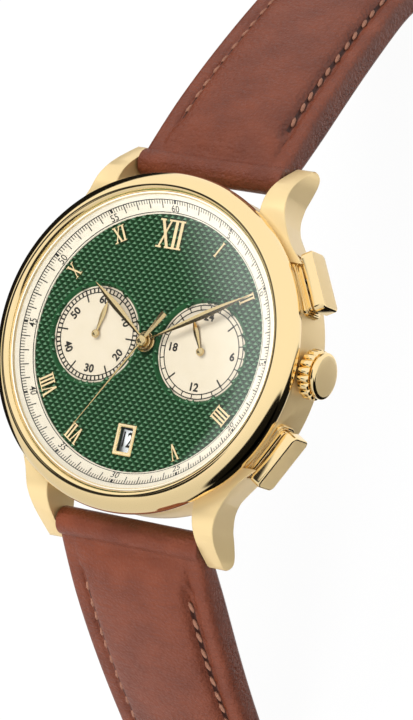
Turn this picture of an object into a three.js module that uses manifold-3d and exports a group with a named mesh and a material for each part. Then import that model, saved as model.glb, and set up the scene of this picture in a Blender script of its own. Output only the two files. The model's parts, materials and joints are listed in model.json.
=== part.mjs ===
// A 40 mm chronograph wristwatch with a two-piece leather strap, unbuckled and standing as an arch on
// its two strap ends. Millimetres. +X is 3 o'clock (the crown), +Y is 12 o'clock, +Z comes out of the
// dial. The origin is the centre of the case back's outer face.
import * as THREE from "three";
import { mergeVertices } from "three/addons/utils/BufferGeometryUtils.js";
import Module from "manifold-3d";

const wasm = await Module();
wasm.setup();

// ---------- clearances ----------
const SEAT = 0.02; // gap kept where one flat face rests on another
const FIT = 0.1; // radial gap where one round piece sits in another
const RUN = 0.03; // radial gap of a running pivot
const SIDE_PLAY = 0.15; // between a lug and the strap or the spring bar's shoulder

// ---------- radii of the case ----------
const CASE_R = 19.4; // mid-case flank
const CASE_WALL = 2; // from the flank to the bore
const CASE_CHAMFER = 0.3;
const COLLAR_WALL = 0.9; // collar that the bezel is pressed on
const LIP = 0.2; // lip that stops the flange ring and carries the crystal
const LIP_THICK = 0.15;
const BEZEL_OVERHANG = 0.6; // the bezel's widest point, beyond the flank
const CRYSTAL_SEAT = 0.1; // width of the crystal's edge on the lip
const CRYSTAL_GASKET = 0.2; // width of the gasket round the crystal
const BACK_INSET = 0.8; // the case back's edge, inside the flank
const BACK_FLAT_R = 14; // flat disc of the screwed case back
const BACK_NOTCHES = 6;
const FLANGE_SLOPE = 2.2; // width of the sloping minute ring
const GASKET_R0 = CASE_R - CASE_WALL + 0.4; // case-back gasket
const GASKET_WIDTH = 0.45;
const GASKET_H = 0.4;
const BORE_R = CASE_R - CASE_WALL; // takes movement, dial and flange ring
const COLLAR_R = BORE_R + COLLAR_WALL;
const LIP_R = BORE_R - LIP;
const CRYSTAL_R = LIP_R + CRYSTAL_SEAT;
const BEZEL_R = CASE_R + BEZEL_OVERHANG;
const BEZEL_OPENING_R = CRYSTAL_R + CRYSTAL_GASKET;
const BACK_R = CASE_R - BACK_INSET;
const FLANGE_FOOT_R = BORE_R - FLANGE_SLOPE;
const DIAL_R = BORE_R - 3 * FIT;
const HOLDER_R = BORE_R - 2.5 * FIT;

// ---------- heights, from the case back up ----------
const BACK_THICK = 1.1;
const BACK_STEP = 0.2; // from the case back's inner floor to the mid-case's underside
const BACK_SPIGOT = 1.3; // how far the case back goes into the bore
const BOTTOM_ROOM = 2.4; // from the mid-case's underside to the train bridge
const BRIDGE_THICK = 2.05;
const PLATE_THICK = 1.55;
const DIAL_ROOM = 0.8; // calendar and motion work, between main plate and dial
const DIAL_THICK = 0.5;
const HANDS_ROOM = 1.5; // from the dial to the top of the collar
const BEZEL_RISE = 0.9; // from the collar to the bezel's top
const BEZEL_H = 3.65;
const CRYSTAL_BED = 0.07; // seat under the crystal's edge
const CRYSTAL_THICK = 0.95;
const CRYSTAL_DOME = 0.55; // rise of the crystal from edge to centre
const CASE_Z0 = BACK_THICK + BACK_STEP; // underside of the mid-case
const BACK_SPIGOT_TOP = CASE_Z0 + BACK_SPIGOT;
const BRIDGE_Z0 = CASE_Z0 + BOTTOM_ROOM;
const PLATE_Z0 = BRIDGE_Z0 + BRIDGE_THICK;
const PLATE_Z1 = PLATE_Z0 + PLATE_THICK;
const DIAL_Z = PLATE_Z1 + DIAL_ROOM + DIAL_THICK; // face of the dial
const COLLAR_Z = DIAL_Z + HANDS_ROOM;
const CRYSTAL_Z = COLLAR_Z + CRYSTAL_BED; // edge of the crystal's underside
const BEZEL_TOP = COLLAR_Z + BEZEL_RISE;
const CASE_Z1 = BEZEL_TOP - BEZEL_H; // top step of the mid-case, where the bezel sits

// ---------- lugs and spring bars ----------
const LUG_GAP = 20; // inside width between the lugs
const LUG_REACH = 4.2; // from the flank to the lug's tip
const LUG_TIP_WIDTH = 2.5;
const LUG_TIP_Z = 0.9;
const BAR_REACH = 2.2; // from the flank to the spring bar
const BAR_Z = 2.6;
const BAR_R = 0.75;
const BAR_TIP_R = 0.4;
const BAR_TIP_DEPTH = 1; // how far the bar's tip goes into the lug
const LUG_TIP_Y = CASE_R + LUG_REACH;
const BAR_Y = CASE_R + BAR_REACH;

// ---------- dial ----------
const SUBDIAL_X = 7.22;
const SUBDIAL_R = 5.7;
const SUBDIAL_RIM = 0.4; // width of the slope round a subdial
const SUBDIAL_DEPTH = 0.25;
const DATE_Y = -11.5;
const DATE_W = 1.7;
const DATE_H = 2.86;
const DATE_FRAME = 0.42; // width of the window frame's border
const APPLIQUE_THICK = 0.35;
const NUMERAL_R = FLANGE_FOOT_R - 1.5; // middle of a numeral, from the dial's centre
const NUMERAL_H = 2;
const NUMERAL_STROKE = 0.24;
const TWELVE_R = FLANGE_FOOT_R - 2.4;
const TWELVE_H = 3.4;
const TWELVE_STROKE = 0.4;

// ---------- movement ----------
const MOVEMENT_R = 14.95;
const BOARD_THICK = 0.3;
const BATTERY_R = 4.75;
const BATTERY_THICK = 2.7;
const BATTERY_X = -7;
const BATTERY_Y = -5.5;
const BATTERY_DROP = 0.3; // from the main plate down to the button cell
const BATTERY_TOP = PLATE_Z0 - BATTERY_DROP;
const CLAMP_REACH = 1.4; // how far the clamp goes past the button cell
const CLAMP_THICK = 0.25;
const CLAMP_W = 2;
const COIL_LENGTH = 9;
const COIL_R = 0.9;
const COIL_Y = 7;
const COIL_Z = BRIDGE_Z0 + COIL_R + FIT;
const BOBBIN_END = 0.8; // thickness of the coil's end cheeks
const BOBBIN_R = 1.2;

const DATE_RING_R0 = 9.4;
const DATE_RING_R1 = 13.4;
const DATE_RING_THICK = 0.25;
const DATE_RING_Z = PLATE_Z1 + 0.3;
const DATE_TEETH = 31;
const DATE_TOOTH = 0.5;
const GUARD_THICK = 0.14;
const GUARD_HALF_WIDTH = 0.9;

const CANNON_MODULE = 0.16; // teeth of the cannon pinion and the minute wheel
const CANNON_TEETH = 12;
const MINUTE_WHEEL_TEETH = 36;
const MINUTE_PINION_TEETH = 10;
const HOUR_WHEEL_TEETH = 40;
const WHEEL_THICK = 0.22;
const WHEEL_LAYER = 0.3; // height between the two gear layers
const GEAR_Z = PLATE_Z1 + 0.05;
const GEAR_CENTRES = ((CANNON_TEETH + MINUTE_WHEEL_TEETH) * CANNON_MODULE) / 2;
const HOUR_MODULE = (2 * GEAR_CENTRES) / (MINUTE_PINION_TEETH + HOUR_WHEEL_TEETH);
const POST_R = 0.3; // post that the minute wheel turns on
const CANNON_R = 0.55;
const HOUR_PIPE_R = 0.95;
const PIPE_RUN = 0.05; // radial gap between the hour pipe, the cannon pinion and the plate
const ARBOR_R = 0.25;
const ARBOR_WHEEL_R = 0.7;
const ARBOR_WHEEL_THICK = 0.3;
const ARBOR_Z0 = PLATE_Z0 - 1.2; // foot of an arbor, in the train bridge
const ARBOR_WHEEL_Z = PLATE_Z0 - 0.62;

// ---------- hands ----------
const HAND_THICK = 0.16;
const HAND_LEVEL = 0.4; // height from one central hand to the next
const HOUR_HAND_Z = DIAL_Z + 0.5;
const MINUTE_HAND_Z = HOUR_HAND_Z + HAND_LEVEL;
const CHRONO_HAND_Z = MINUTE_HAND_Z + HAND_LEVEL;
const SMALL_HAND_Z = DIAL_Z + SEAT;
const HOUR_HAND_LENGTH = 10.35;
const HOUR_HAND_W = 0.95;
const HOUR_HUB_R = 1.2;
const MINUTE_HAND_LENGTH = 14.4;
const MINUTE_HAND_W = 1;
const MINUTE_HUB_R = 0.9;
const CHRONO_HAND_LENGTH = 12.8;
const CHRONO_TAIL_LENGTH = 4.2;
const CHRONO_CAP_R = 0.65;
const CHRONO_CAP_H = 0.46;
const SMALL_HAND_LENGTH = 4;
const SMALL_HAND_W = 0.6;
const SMALL_HUB_R = 0.5;
const MINUTES_SHOWN = 10;
const HOURS_SHOWN = 10 + MINUTES_SHOWN / 60;
const CHRONO_SECONDS_SHOWN = 35.2;
const CHRONO_MINUTES_SHOWN = 1 + CHRONO_SECONDS_SHOWN / 60;

// ---------- crown and pushers ----------
const STEM_R = 0.5;
const STEM_COLLAR = 0.1; // how much thicker the stem's collar is
const STEM_X0 = 8; // inner end of the stem
const CONTROL_Z = PLATE_Z0 - STEM_R - 0.15; // height of the crown's and the pushers' axes
const CROWN_R = 3;
const CROWN_GAP = 0.85; // from the flank to the crown
const CROWN_LENGTH = 2.3;
const CROWN_CAP = 0.9; // smooth part past the flutes
const CROWN_DOME = 0.5;
const CROWN_FLUTES = 22;
const CROWN_FLUTE = 0.22; // depth of a flute
const CROWN_X0 = CASE_R + CROWN_GAP;
const CROWN_TUBE_R = 1.6;
const CROWN_TUBE_OUT = 0.75; // how far the tube stands out of the flank
const CROWN_WELL = 0.9; // depth of the crown's hollow

const PUSHER_ANGLE = 29.3; // either side of 3 o'clock, degrees
const PUSHER_W = 7.2;
const PUSHER_H = 3.5;
const PUSHER_REACH = 2.9; // from the flank to the pusher's outer face
const PUSHER_CAP = 1.7; // radial length of the pusher's head
const PUSHER_WALL = 0.3;
const PUSHER_FACE = 0.95; // thickness of the head behind its outer face
const PUSHER_ROUNDING = 0.35;
const PUSHER_TRAVEL = 0.8;
const PUSHER_ROD_R = 0.6;
const PUSHER_ROD_IN = 1.5; // how far the rod reaches inside the bore
const PUSHER_TUBE_R = 1.1;
const PUSHER_SEAT_R = CASE_R - 0.65; // bottom of the flat pocket under a pusher's collar
const PUSHER_STEP_R = CASE_R + 0.2; // outer face of the collar plate
const PUSHER_LEDGE = 0.12; // height of the second step of the collar
const PUSHER_LEDGE_INSET = 0.2;
const PUSHER_BOSS = 0.55; // height of the collar's boss
const PUSHER_BOSS_INSET = 0.45;
const PUSHER_OUT = CASE_R + PUSHER_REACH;
const PUSHER_CAP_R0 = PUSHER_OUT - PUSHER_CAP;
const SPRING_R = 0.95; // mean radius of a pusher spring's coils
const SPRING_WIRE = 0.14;
const SPRING_TURNS = 3;
const SPRING_WELL = 0.75; // depth of the counterbore that the spring goes into

// ---------- strap and buckle ----------
const STRAP_W = 18;
const STRAP_T = 2.6;
const STRAP_LOOP_R = 1.7; // rolled end round the spring bar
const STRAP_NECK = 2.4; // length over which the strap changes to its own width
const STRAP_DROP = 33; // from the spring bar down to the middle of the flat end
const LONG_STRAP = 115; // the 6 o'clock half, with the holes
const LONG_BENDS = [[43, 52, 27]];
const LONG_FLAT_R = 18;
const SHORT_STRAP = 80; // the 12 o'clock half, with the buckle
const SHORT_BENDS = [[31, 40, 29], [40, 60, 10]];
const SHORT_FLAT_R = 16;
const STRAP_HOLES = 7;
const STRAP_HOLE_R = 1;
const STRAP_HOLE_PITCH = 6.5;
const STRAP_HOLE_FIRST = 22; // from the pointed tip
const KEEPER_W = 5;
const KEEPER_WALL = 1.2;
const KEEPER_FLOOR = 0.9; // leather of a keeper under the strap
const KEEPER_GAP = 0.2; // between a keeper and the strap it goes round
const KEEPER_ROOM = 2.6; // space above the strap for the other half
const FIXED_KEEPER_GAP = 1.2; // from the tongue's notch
const FREE_KEEPER_GAP = 1.4; // from the fixed keeper at rest
const FREE_KEEPER_TRAVEL = 2; // how far the free keeper slides towards the watch

const BUCKLE_BAR_R = 0.75;
const BUCKLE_LOOP_R = 1.6;
const BUCKLE_GAP = 0.2; // between the strap and an arm
const BUCKLE_ARM = 2;
const BUCKLE_REACH = 13.5; // from the bar to the outer edge of the frame
const BUCKLE_FRONT = 2.8;
const BUCKLE_T = 2.3;
const BUCKLE_CORNER = 2.2;
const TONGUE_W = 1.9;
const TONGUE_T = 1.1;
const TONGUE_GAP = 0.35; // either side of the tongue in its notch
const TONGUE_SLOT = 7; // length of the notch that the tongue turns in
const TONGUE_SEAT = 1.8; // height of the tongue's seat above the frame's underside
const BUCKLE_HALF = STRAP_W / 2 + BUCKLE_GAP + BUCKLE_ARM;

// ---------- roundness ----------
const ROUND = 36; // segments of the large turned pieces
const MIDDLE_ROUND = 32; // segments of the subdials and the button cell
const SMALL_ROUND = 16; // segments of pipes, bars and tubes
const PIN_ROUND = 12; // segments of arbors, pins and their holes
const BEND_STEPS = 5; // straight steps in a bend of the strap
const ALL = 40; // longer than any cut needs to be

// ---------- materials ----------
const steelGold = new THREE.MeshStandardMaterial({ color: 0xe8bf6a, roughness: 0.22, metalness: 1 });
const satinGold = new THREE.MeshStandardMaterial({ color: 0xd2a95c, roughness: 0.42, metalness: 1 });
const brass = new THREE.MeshStandardMaterial({ color: 0xb8964e, roughness: 0.4, metalness: 1 });
const steel = new THREE.MeshStandardMaterial({ color: 0xb9bcc0, roughness: 0.35, metalness: 1 });
const glass = new THREE.MeshStandardMaterial({ color: 0xf2f6f6, roughness: 0.05, metalness: 0 });
const cream = new THREE.MeshStandardMaterial({ color: 0xece4d2, roughness: 0.55, metalness: 0 });
const green = new THREE.MeshStandardMaterial({ color: 0x123f22, roughness: 0.3, metalness: 0.2 });
const nylon = new THREE.MeshStandardMaterial({ color: 0xe8e8e4, roughness: 0.5, metalness: 0 });
const blackPlastic = new THREE.MeshStandardMaterial({ color: 0x2b2b2d, roughness: 0.6, metalness: 0 });
const boardGreen = new THREE.MeshStandardMaterial({ color: 0x1f5a3a, roughness: 0.5, metalness: 0 });
const copper = new THREE.MeshStandardMaterial({ color: 0xb06a3c, roughness: 0.4, metalness: 1 });
const rubber = new THREE.MeshStandardMaterial({ color: 0x222222, roughness: 0.8, metalness: 0 });
const leather = new THREE.MeshStandardMaterial({ color: 0x6e3b30, roughness: 0.6, metalness: 0 });

// ---------- solids ----------
// Turns any closed three.js geometry into a solid, with its faces outwards.
function solid(geometry) {
  const bare = geometry.index ? geometry.toNonIndexed() : geometry.clone();
  for (const name of Object.keys(bare.attributes)) {
    if (name !== "position") bare.deleteAttribute(name);
  }
  const merged = mergeVertices(bare, 1e-4);
  const vertProperties = new Float32Array(merged.attributes.position.array);
  const corners = merged.index.array;
  const point = (i) => new THREE.Vector3().fromArray(vertProperties, 3 * i);
  const kept = [];
  let volume = 0;
  for (let i = 0; i < corners.length; i += 3) {
    const [a, b, c] = [corners[i], corners[i + 1], corners[i + 2]];
    if (a === b || b === c || c === a) continue;
    volume += point(a).dot(point(b).cross(point(c)));
    kept.push(a, b, c);
  }
  if (volume < 0) {
    for (let i = 0; i < kept.length; i += 3) [kept[i], kept[i + 1]] = [kept[i + 1], kept[i]];
  }
  return new wasm.Manifold(new wasm.Mesh({ numProp: 3, vertProperties, triVerts: new Uint32Array(kept) }));
}

function mesh(name, body, material) {
  const { vertProperties, triVerts, numProp } = body.getMesh();
  const positions = new Float32Array((vertProperties.length / numProp) * 3);
  for (let i = 0; i < positions.length / 3; i++) {
    for (let k = 0; k < 3; k++) positions[3 * i + k] = vertProperties[numProp * i + k];
  }
  const geometry = new THREE.BufferGeometry();
  geometry.setAttribute("position", new THREE.BufferAttribute(positions, 3));
  geometry.setIndex(Array.from(triVerts));
  const made = new THREE.Mesh(geometry, material);
  made.name = name;
  return made;
}

const radians = (degrees) => (degrees * Math.PI) / 180;

// A profile of [radius, height] points turned round +Z.
function turned(profile, segments = ROUND) {
  const points = profile.map(([r, z]) => new THREE.Vector2(r, z));
  const onAxis = profile[0][0] === 0 && profile[profile.length - 1][0] === 0;
  if (!onAxis) points.push(points[0].clone());
  return solid(new THREE.LatheGeometry(points, segments).rotateX(Math.PI / 2));
}

function ring(inner, outer, z0, z1, segments = ROUND) {
  return turned([[inner, z0], [outer, z0], [outer, z1], [inner, z1]], segments);
}

function disc(radius, z0, z1, x = 0, y = 0, segments = SMALL_ROUND) {
  const body = new THREE.CylinderGeometry(radius, radius, z1 - z0, segments).rotateX(Math.PI / 2);
  return solid(body.translate(x, y, (z0 + z1) / 2));
}

// A round bar along +X.
function barX(radius, x0, x1, y, z, segments = SMALL_ROUND) {
  const body = new THREE.CylinderGeometry(radius, radius, x1 - x0, segments).rotateZ(Math.PI / 2);
  return solid(body.translate((x0 + x1) / 2, y, z));
}

function block(x0, x1, y0, y1, z0, z1) {
  const body = new THREE.BoxGeometry(x1 - x0, y1 - y0, z1 - z0);
  return solid(body.translate((x0 + x1) / 2, (y0 + y1) / 2, (z0 + z1) / 2));
}

// An outline of [x, y] points, raised from z0 to z1.
function plate(outline, z0, z1) {
  const shape = new THREE.Shape(outline.map(([x, y]) => new THREE.Vector2(x, y)));
  const options = { depth: z1 - z0, bevelEnabled: false };
  return solid(new THREE.ExtrudeGeometry(shape, options).translate(0, 0, z0));
}

// An outline of [y, z] points, drawn out along X.
function plateX(outline, x0, x1) {
  const shape = new THREE.Shape(outline.map(([y, z]) => new THREE.Vector2(y, z)));
  const options = { depth: x1 - x0, bevelEnabled: false };
  const body = new THREE.ExtrudeGeometry(shape, options);
  body.rotateY(Math.PI / 2).rotateX(Math.PI / 2);
  return solid(body.translate(x0, 0, 0));
}

// A frame whose +X points away from the case at an angle round the dial.
function radialFrame(degrees, z) {
  const frame = new THREE.Group();
  frame.rotation.z = radians(degrees);
  frame.position.z = z;
  return frame;
}

// Turns a solid made in the radial frame into the row frame, for cutting the case.
function turnedTo(body, degrees, z) {
  return body.rotate([0, 0, degrees]).translate([0, 0, z]);
}

const watch = new THREE.Group();

// ---------- strap line ----------
// The middle line of a strap half, from its spring bar: bends and straights as [slope at the start,
// slope at the end, length]. The last straight before the end is as long as the drop needs, and the
// rest lies flat.
function strapLine(bends, flatRadius, length) {
  const steepest = bends[bends.length - 1][1];
  const toFlat = [steepest, 0, flatRadius * radians(steepest)];
  const steps = (stretch) => stepsOf(...stretch);
  const fallen = [...bends, toFlat].flatMap(steps).reduce((sum, step) => sum + step.down, 0);
  const hold = [steepest, steepest, (STRAP_DROP - fallen) / Math.sin(radians(steepest))];
  const used = [...bends, hold, toFlat].reduce((sum, stretch) => sum + stretch[2], 0);
  const line = [{ out: 0, down: 0, slope: radians(bends[0][0]) }];
  for (const step of [...bends, hold, toFlat, [0, 0, length - used]].flatMap(steps)) {
    const last = line[line.length - 1];
    line.push({ out: last.out + step.out, down: last.down - step.down, slope: step.slope });
  }
  return line;
}

// A bend in short straight steps.
function stepsOf(from, to, length) {
  const pieces = from === to ? 1 : BEND_STEPS;
  return Array.from({ length: pieces }, (_, i) => {
    const middle = radians(from + ((to - from) * (i + 0.5)) / pieces);
    return {
      out: (length / pieces) * Math.cos(middle),
      down: (length / pieces) * Math.sin(middle),
      slope: radians(from + ((to - from) * (i + 1)) / pieces),
    };
  });
}

const SHORT_LINE = strapLine(SHORT_BENDS, SHORT_FLAT_R, SHORT_STRAP);
const LONG_LINE = strapLine(LONG_BENDS, LONG_FLAT_R, LONG_STRAP);
const FLOOR_Z = BAR_Z - STRAP_DROP - STRAP_T / 2;

// The side view of a strap half, in [distance out, height], as wide as the lugs.
function strapSide(line, half, side) {
  const upper = [];
  const lower = [];
  for (const { out, down, slope } of line) {
    upper.push([side * (BAR_Y + out + half * Math.sin(slope)), BAR_Z + down + half * Math.cos(slope)]);
    lower.push([side * (BAR_Y + out - half * Math.sin(slope)), BAR_Z + down - half * Math.cos(slope)]);
  }
  return [...upper, ...lower.reverse()];
}

// The seen-from-above outline of a strap half: as wide as the lugs at the bar, then narrower.
function strapPlan(side, end, tip) {
  const root = LUG_GAP / 2 - SIDE_PLAY;
  const half = STRAP_W / 2;
  const neck = LUG_TIP_Y + 0.6;
  const start = BAR_Y - STRAP_LOOP_R - 1;
  const right = [[root, start], [root, neck], [half, neck + STRAP_NECK], ...tip(half, end)];
  const left = right.map(([x, y]) => [-x, y]).reverse();
  return [...right, ...left].map(([x, y]) => [x, side * y]);
}

// ---------- mid-case ----------
// One lug, at the corner that the two signs give.
function lug(sideX, sideY) {
  // Side view, as [distance past the flank, height]: the top falls away in a curve to the tip.
  const profile = [
    [-7.4, CASE_Z1], [-2, CASE_Z1], [-1, CASE_Z1 - 0.25], [0, CASE_Z1 - 0.85], [1, CASE_Z1 - 1.75],
    [1.9, CASE_Z1 - 2.85], [2.7, CASE_Z1 - 4.05], [3.5, CASE_Z1 - 5.35], [LUG_REACH, LUG_TIP_Z],
    [LUG_REACH - 0.3, LUG_TIP_Z - 0.5], [2, LUG_TIP_Z - 0.6], [-0.8, CASE_Z0 - 0.35], [-2.2, CASE_Z0],
    [-7.4, CASE_Z0],
  ].map(([out, z]) => [sideY * (CASE_R + out), z]);
  const inner = LUG_GAP / 2;
  const tip = inner + LUG_TIP_WIDTH;
  // From above, as [x, distance past the flank]: a hollow curve from the flank to the tip.
  const outline = [
    [inner, -7.4], [inner, LUG_REACH + 1], [tip - 0.25, LUG_REACH + 1], [tip, LUG_REACH - 0.8],
    [tip, 1.2], [tip + 0.15, -0.4], [tip + 0.45, -2], [tip + 1.1, -3.8], [tip + 2.3, -5.8],
    [tip + 3.2, -7.2],
  ].map(([x, out]) => [sideX * x, sideY * (CASE_R + out)]);
  return plateX(profile, -CASE_R, CASE_R).intersect(plate(outline, 0, CASE_Z1));
}

function midCase() {
  const c = CASE_CHAMFER;
  let body = turned([
    [BORE_R, CASE_Z0], [CASE_R - 1.3 * c, CASE_Z0], [CASE_R, CASE_Z0 + 1.3 * c], [CASE_R, CASE_Z1 - c],
    [CASE_R - c, CASE_Z1], [COLLAR_R, CASE_Z1], [COLLAR_R, COLLAR_Z], [LIP_R, COLLAR_Z],
    [LIP_R, COLLAR_Z - LIP_THICK], [BORE_R, COLLAR_Z - LIP_THICK],
  ]);
  const core = disc(CASE_R - 1, -1, CASE_Z1 + 1, 0, 0, ROUND);
  for (const sideX of [-1, 1]) {
    for (const sideY of [-1, 1]) {
      body = body.add(lug(sideX, sideY).subtract(core));
    }
  }
  const tipHoles = LUG_GAP / 2 + BAR_TIP_DEPTH + FIT;
  for (const side of [-1, 1]) {
    body = body.subtract(barX(BAR_TIP_R + FIT / 2, -tipHoles, tipHoles, side * BAR_Y, BAR_Z, PIN_ROUND));
  }
  body = body.subtract(barX(CROWN_TUBE_R + SEAT, BORE_R - 1, CASE_R + 2, 0, CONTROL_Z));
  for (const side of [-1, 1]) {
    const hole = barX(PUSHER_TUBE_R + SEAT, BORE_R - 1, CASE_R + 2, 0, 0);
    body = body.subtract(turnedTo(hole, side * PUSHER_ANGLE, CONTROL_Z));
    const pocket = pusherPlate(PUSHER_SEAT_R, CASE_R + 2, FIT);
    body = body.subtract(turnedTo(pocket, side * PUSHER_ANGLE, CONTROL_Z));
  }
  const room = FIT / 2;
  const groove = ring(GASKET_R0 - room, GASKET_R0 + GASKET_WIDTH + room, 0, CASE_Z0 + GASKET_H + room);
  return body.subtract(groove);
}

// A rounded plate of the pusher's size, between two distances from the case axis.
function pusherPlate(r0, r1, grow) {
  const w = PUSHER_W / 2 + grow;
  const h = PUSHER_H / 2 + grow;
  const c = 0.5;
  const outline = [
    [w, -h + c], [w, h - c], [w - c, h], [-w + c, h], [-w, h - c], [-w, -h + c], [-w + c, -h], [w - c, -h],
  ];
  return plateX(outline, r0, r1);
}

// Domed ring: an undercut foot, a round belly and a rounded inner lip.
function bezel() {
  const r = BEZEL_R;
  const foot = CASE_Z1 + SEAT;
  const top = BEZEL_TOP;
  return turned([
    [COLLAR_R + SEAT, foot], [r - 0.7, foot], [r - 0.28, CASE_Z1 + 0.5], [r, CASE_Z1 + 1.2],
    [r, top - 1.95], [r - 0.22, top - 1.25], [r - 0.65, top - 0.65], [r - 1.2, top - 0.22],
    [r - 1.75, top], [BEZEL_OPENING_R + 0.35, top - 0.05], [BEZEL_OPENING_R, top - 0.35],
    [BEZEL_OPENING_R, COLLAR_Z + SEAT], [COLLAR_R + SEAT, COLLAR_Z + SEAT],
  ]);
}

function crystal() {
  const rings = 2;
  const profile = [];
  const rise = (r) => CRYSTAL_DOME * (1 - (r / CRYSTAL_R) ** 2);
  for (let i = 0; i <= rings; i++) {
    const r = (CRYSTAL_R * i) / rings;
    profile.push([r, CRYSTAL_Z + rise(r)]);
  }
  for (let i = rings; i >= 0; i--) {
    const r = (CRYSTAL_R * i) / rings;
    profile.push([r, CRYSTAL_Z + CRYSTAL_THICK + rise(r)]);
  }
  return turned(profile);
}

function crystalGasket() {
  return ring(CRYSTAL_R + SEAT, BEZEL_OPENING_R - SEAT, COLLAR_Z + SEAT, CRYSTAL_Z + CRYSTAL_THICK - 0.2);
}

function flangeRing() {
  const top = COLLAR_Z - LIP_THICK - SEAT;
  const outer = BORE_R - FIT / 2;
  return turned([[FLANGE_FOOT_R, DIAL_Z + SEAT], [outer, DIAL_Z + SEAT], [outer, top], [LIP_R, top]]);
}

function caseBack() {
  const spigot = BORE_R - FIT;
  let body = turned([
    [0, 0], [BACK_FLAT_R, 0], [BACK_R - 1, 0.5], [BACK_R, BACK_THICK - 0.1], [BACK_R, CASE_Z0 - SEAT],
    [spigot, CASE_Z0 - SEAT], [spigot, BACK_SPIGOT_TOP], [spigot - 1, BACK_SPIGOT_TOP],
    [spigot - 1, BACK_THICK], [0, BACK_THICK],
  ]);
  // Notches for the key that screws it down.
  for (let i = 0; i < BACK_NOTCHES; i++) {
    const notch = block(BACK_R - 2.6, BACK_R + 1, -1.2, 1.2, -1, 0.42);
    body = body.subtract(turnedTo(notch, (360 * (i + 0.5)) / BACK_NOTCHES, 0));
  }
  return body;
}

const backGasket = () => ring(GASKET_R0, GASKET_R0 + GASKET_WIDTH, CASE_Z0, CASE_Z0 + GASKET_H);

// ---------- dial side ----------
function dial() {
  let body = disc(DIAL_R, DIAL_Z - DIAL_THICK, DIAL_Z, 0, 0, ROUND);
  for (const side of [-1, 1]) {
    const floor = DIAL_Z - SUBDIAL_DEPTH;
    const recess = turned([
      [0, floor], [SUBDIAL_R, floor], [SUBDIAL_R + SUBDIAL_RIM, DIAL_Z],
      [SUBDIAL_R + SUBDIAL_RIM, DIAL_Z + 1], [0, DIAL_Z + 1],
    ], MIDDLE_ROUND);
    body = body.subtract(recess.translate([side * SUBDIAL_X, 0, 0]));
    body = body.subtract(disc(ARBOR_R + FIT, 0, DIAL_Z, side * SUBDIAL_X, 0, PIN_ROUND));
  }
  body = body.subtract(disc(HOUR_PIPE_R + FIT, 0, DIAL_Z + 1));
  return body.subtract(dateWindow(0, 0, DIAL_Z + 1));
}

// The date window's box, larger all round by a border.
function dateWindow(border, z0, z1) {
  const w = DATE_W / 2 + border;
  const h = DATE_H / 2 + border;
  return block(-w, w, DATE_Y - h, DATE_Y + h, z0, z1);
}

function dateFrame() {
  const outer = dateWindow(DATE_FRAME, DIAL_Z, DIAL_Z + APPLIQUE_THICK);
  return outer.subtract(dateWindow(0, 0, DIAL_Z + 1));
}

// A roman numeral as one piece. Each stroke has a short serif at its ends, and neighbours' serifs
// join. The baseline is towards the dial's centre.
function numeral(text, height, stroke) {
  const h = height / 2;
  const thin = stroke * 0.6;
  const gap = stroke * 0.83;
  const serif = stroke * 0.5;
  const reach = stroke * 0.95;
  const widths = { I: stroke, V: height * 0.47, X: height * 0.47 };
  const total = [...text].reduce((sum, c) => sum + widths[c], 0) + gap * (text.length - 1);
  let body = null;
  const join = (piece) => {
    body = body ? body.add(piece) : piece;
  };
  const foot = (x) => join(block(x - reach, x + reach, -h, serif - h, 0, APPLIQUE_THICK));
  const head = (x) => join(block(x - reach, x + reach, h - serif, h, 0, APPLIQUE_THICK));
  const bar = (x0, x1, width) => {
    const t = width / 2;
    join(plate([[x0 - t, -h], [x0 + t, -h], [x1 + t, h], [x1 - t, h]], 0, APPLIQUE_THICK));
    head(x1);
  };
  let x = -total / 2;
  for (const c of text) {
    const middle = x + widths[c] / 2;
    const left = x + stroke / 2;
    const right = x + widths[c] - stroke / 2;
    if (c === "I") {
      bar(middle, middle, stroke);
      foot(middle);
    }
    if (c === "V") {
      bar(middle, left, stroke);
      bar(middle, right, thin);
    }
    if (c === "X") {
      bar(right, left, stroke);
      bar(left, right, thin);
      foot(left);
      foot(right);
    }
    x += widths[c] + gap;
  }
  return body;
}

const HOURS = [
  { hour: 12, text: "XII", height: TWELVE_H, radius: TWELVE_R, stroke: TWELVE_STROKE },
  { hour: 1, text: "I" }, { hour: 2, text: "II" }, { hour: 4, text: "IIII" }, { hour: 5, text: "V" },
  { hour: 7, text: "VII" }, { hour: 8, text: "VIII" }, { hour: 10, text: "X" }, { hour: 11, text: "XI" },
];

function addNumerals() {
  for (const place of HOURS) {
    const { hour, text, height = NUMERAL_H, radius = NUMERAL_R, stroke = NUMERAL_STROKE } = place;
    const piece = mesh(`numeral_${hour}`, numeral(text, height, stroke), steelGold);
    const angle = radians(30 * hour);
    piece.position.set(radius * Math.sin(angle), radius * Math.cos(angle), DIAL_Z);
    piece.rotation.z = -angle;
    watch.add(piece);
  }
}

// ---------- movement ----------
// Ring that centres the movement in the bore.
function movementHolder() {
  const inner = MOVEMENT_R + FIT;
  let body = ring(inner, HOLDER_R, BACK_SPIGOT_TOP + FIT, DIAL_Z - DIAL_THICK - SEAT);
  body = body.subtract(barX(STEM_R + 0.4, inner - 1, HOLDER_R + 1, 0, CONTROL_Z, PIN_ROUND));
  for (const side of [-1, 1]) {
    const hole = barX(PUSHER_ROD_R + 0.3, inner - 1, HOLDER_R + 1, 0, 0, PIN_ROUND);
    body = body.subtract(turnedTo(hole, side * PUSHER_ANGLE, CONTROL_Z));
  }
  return body;
}

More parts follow.
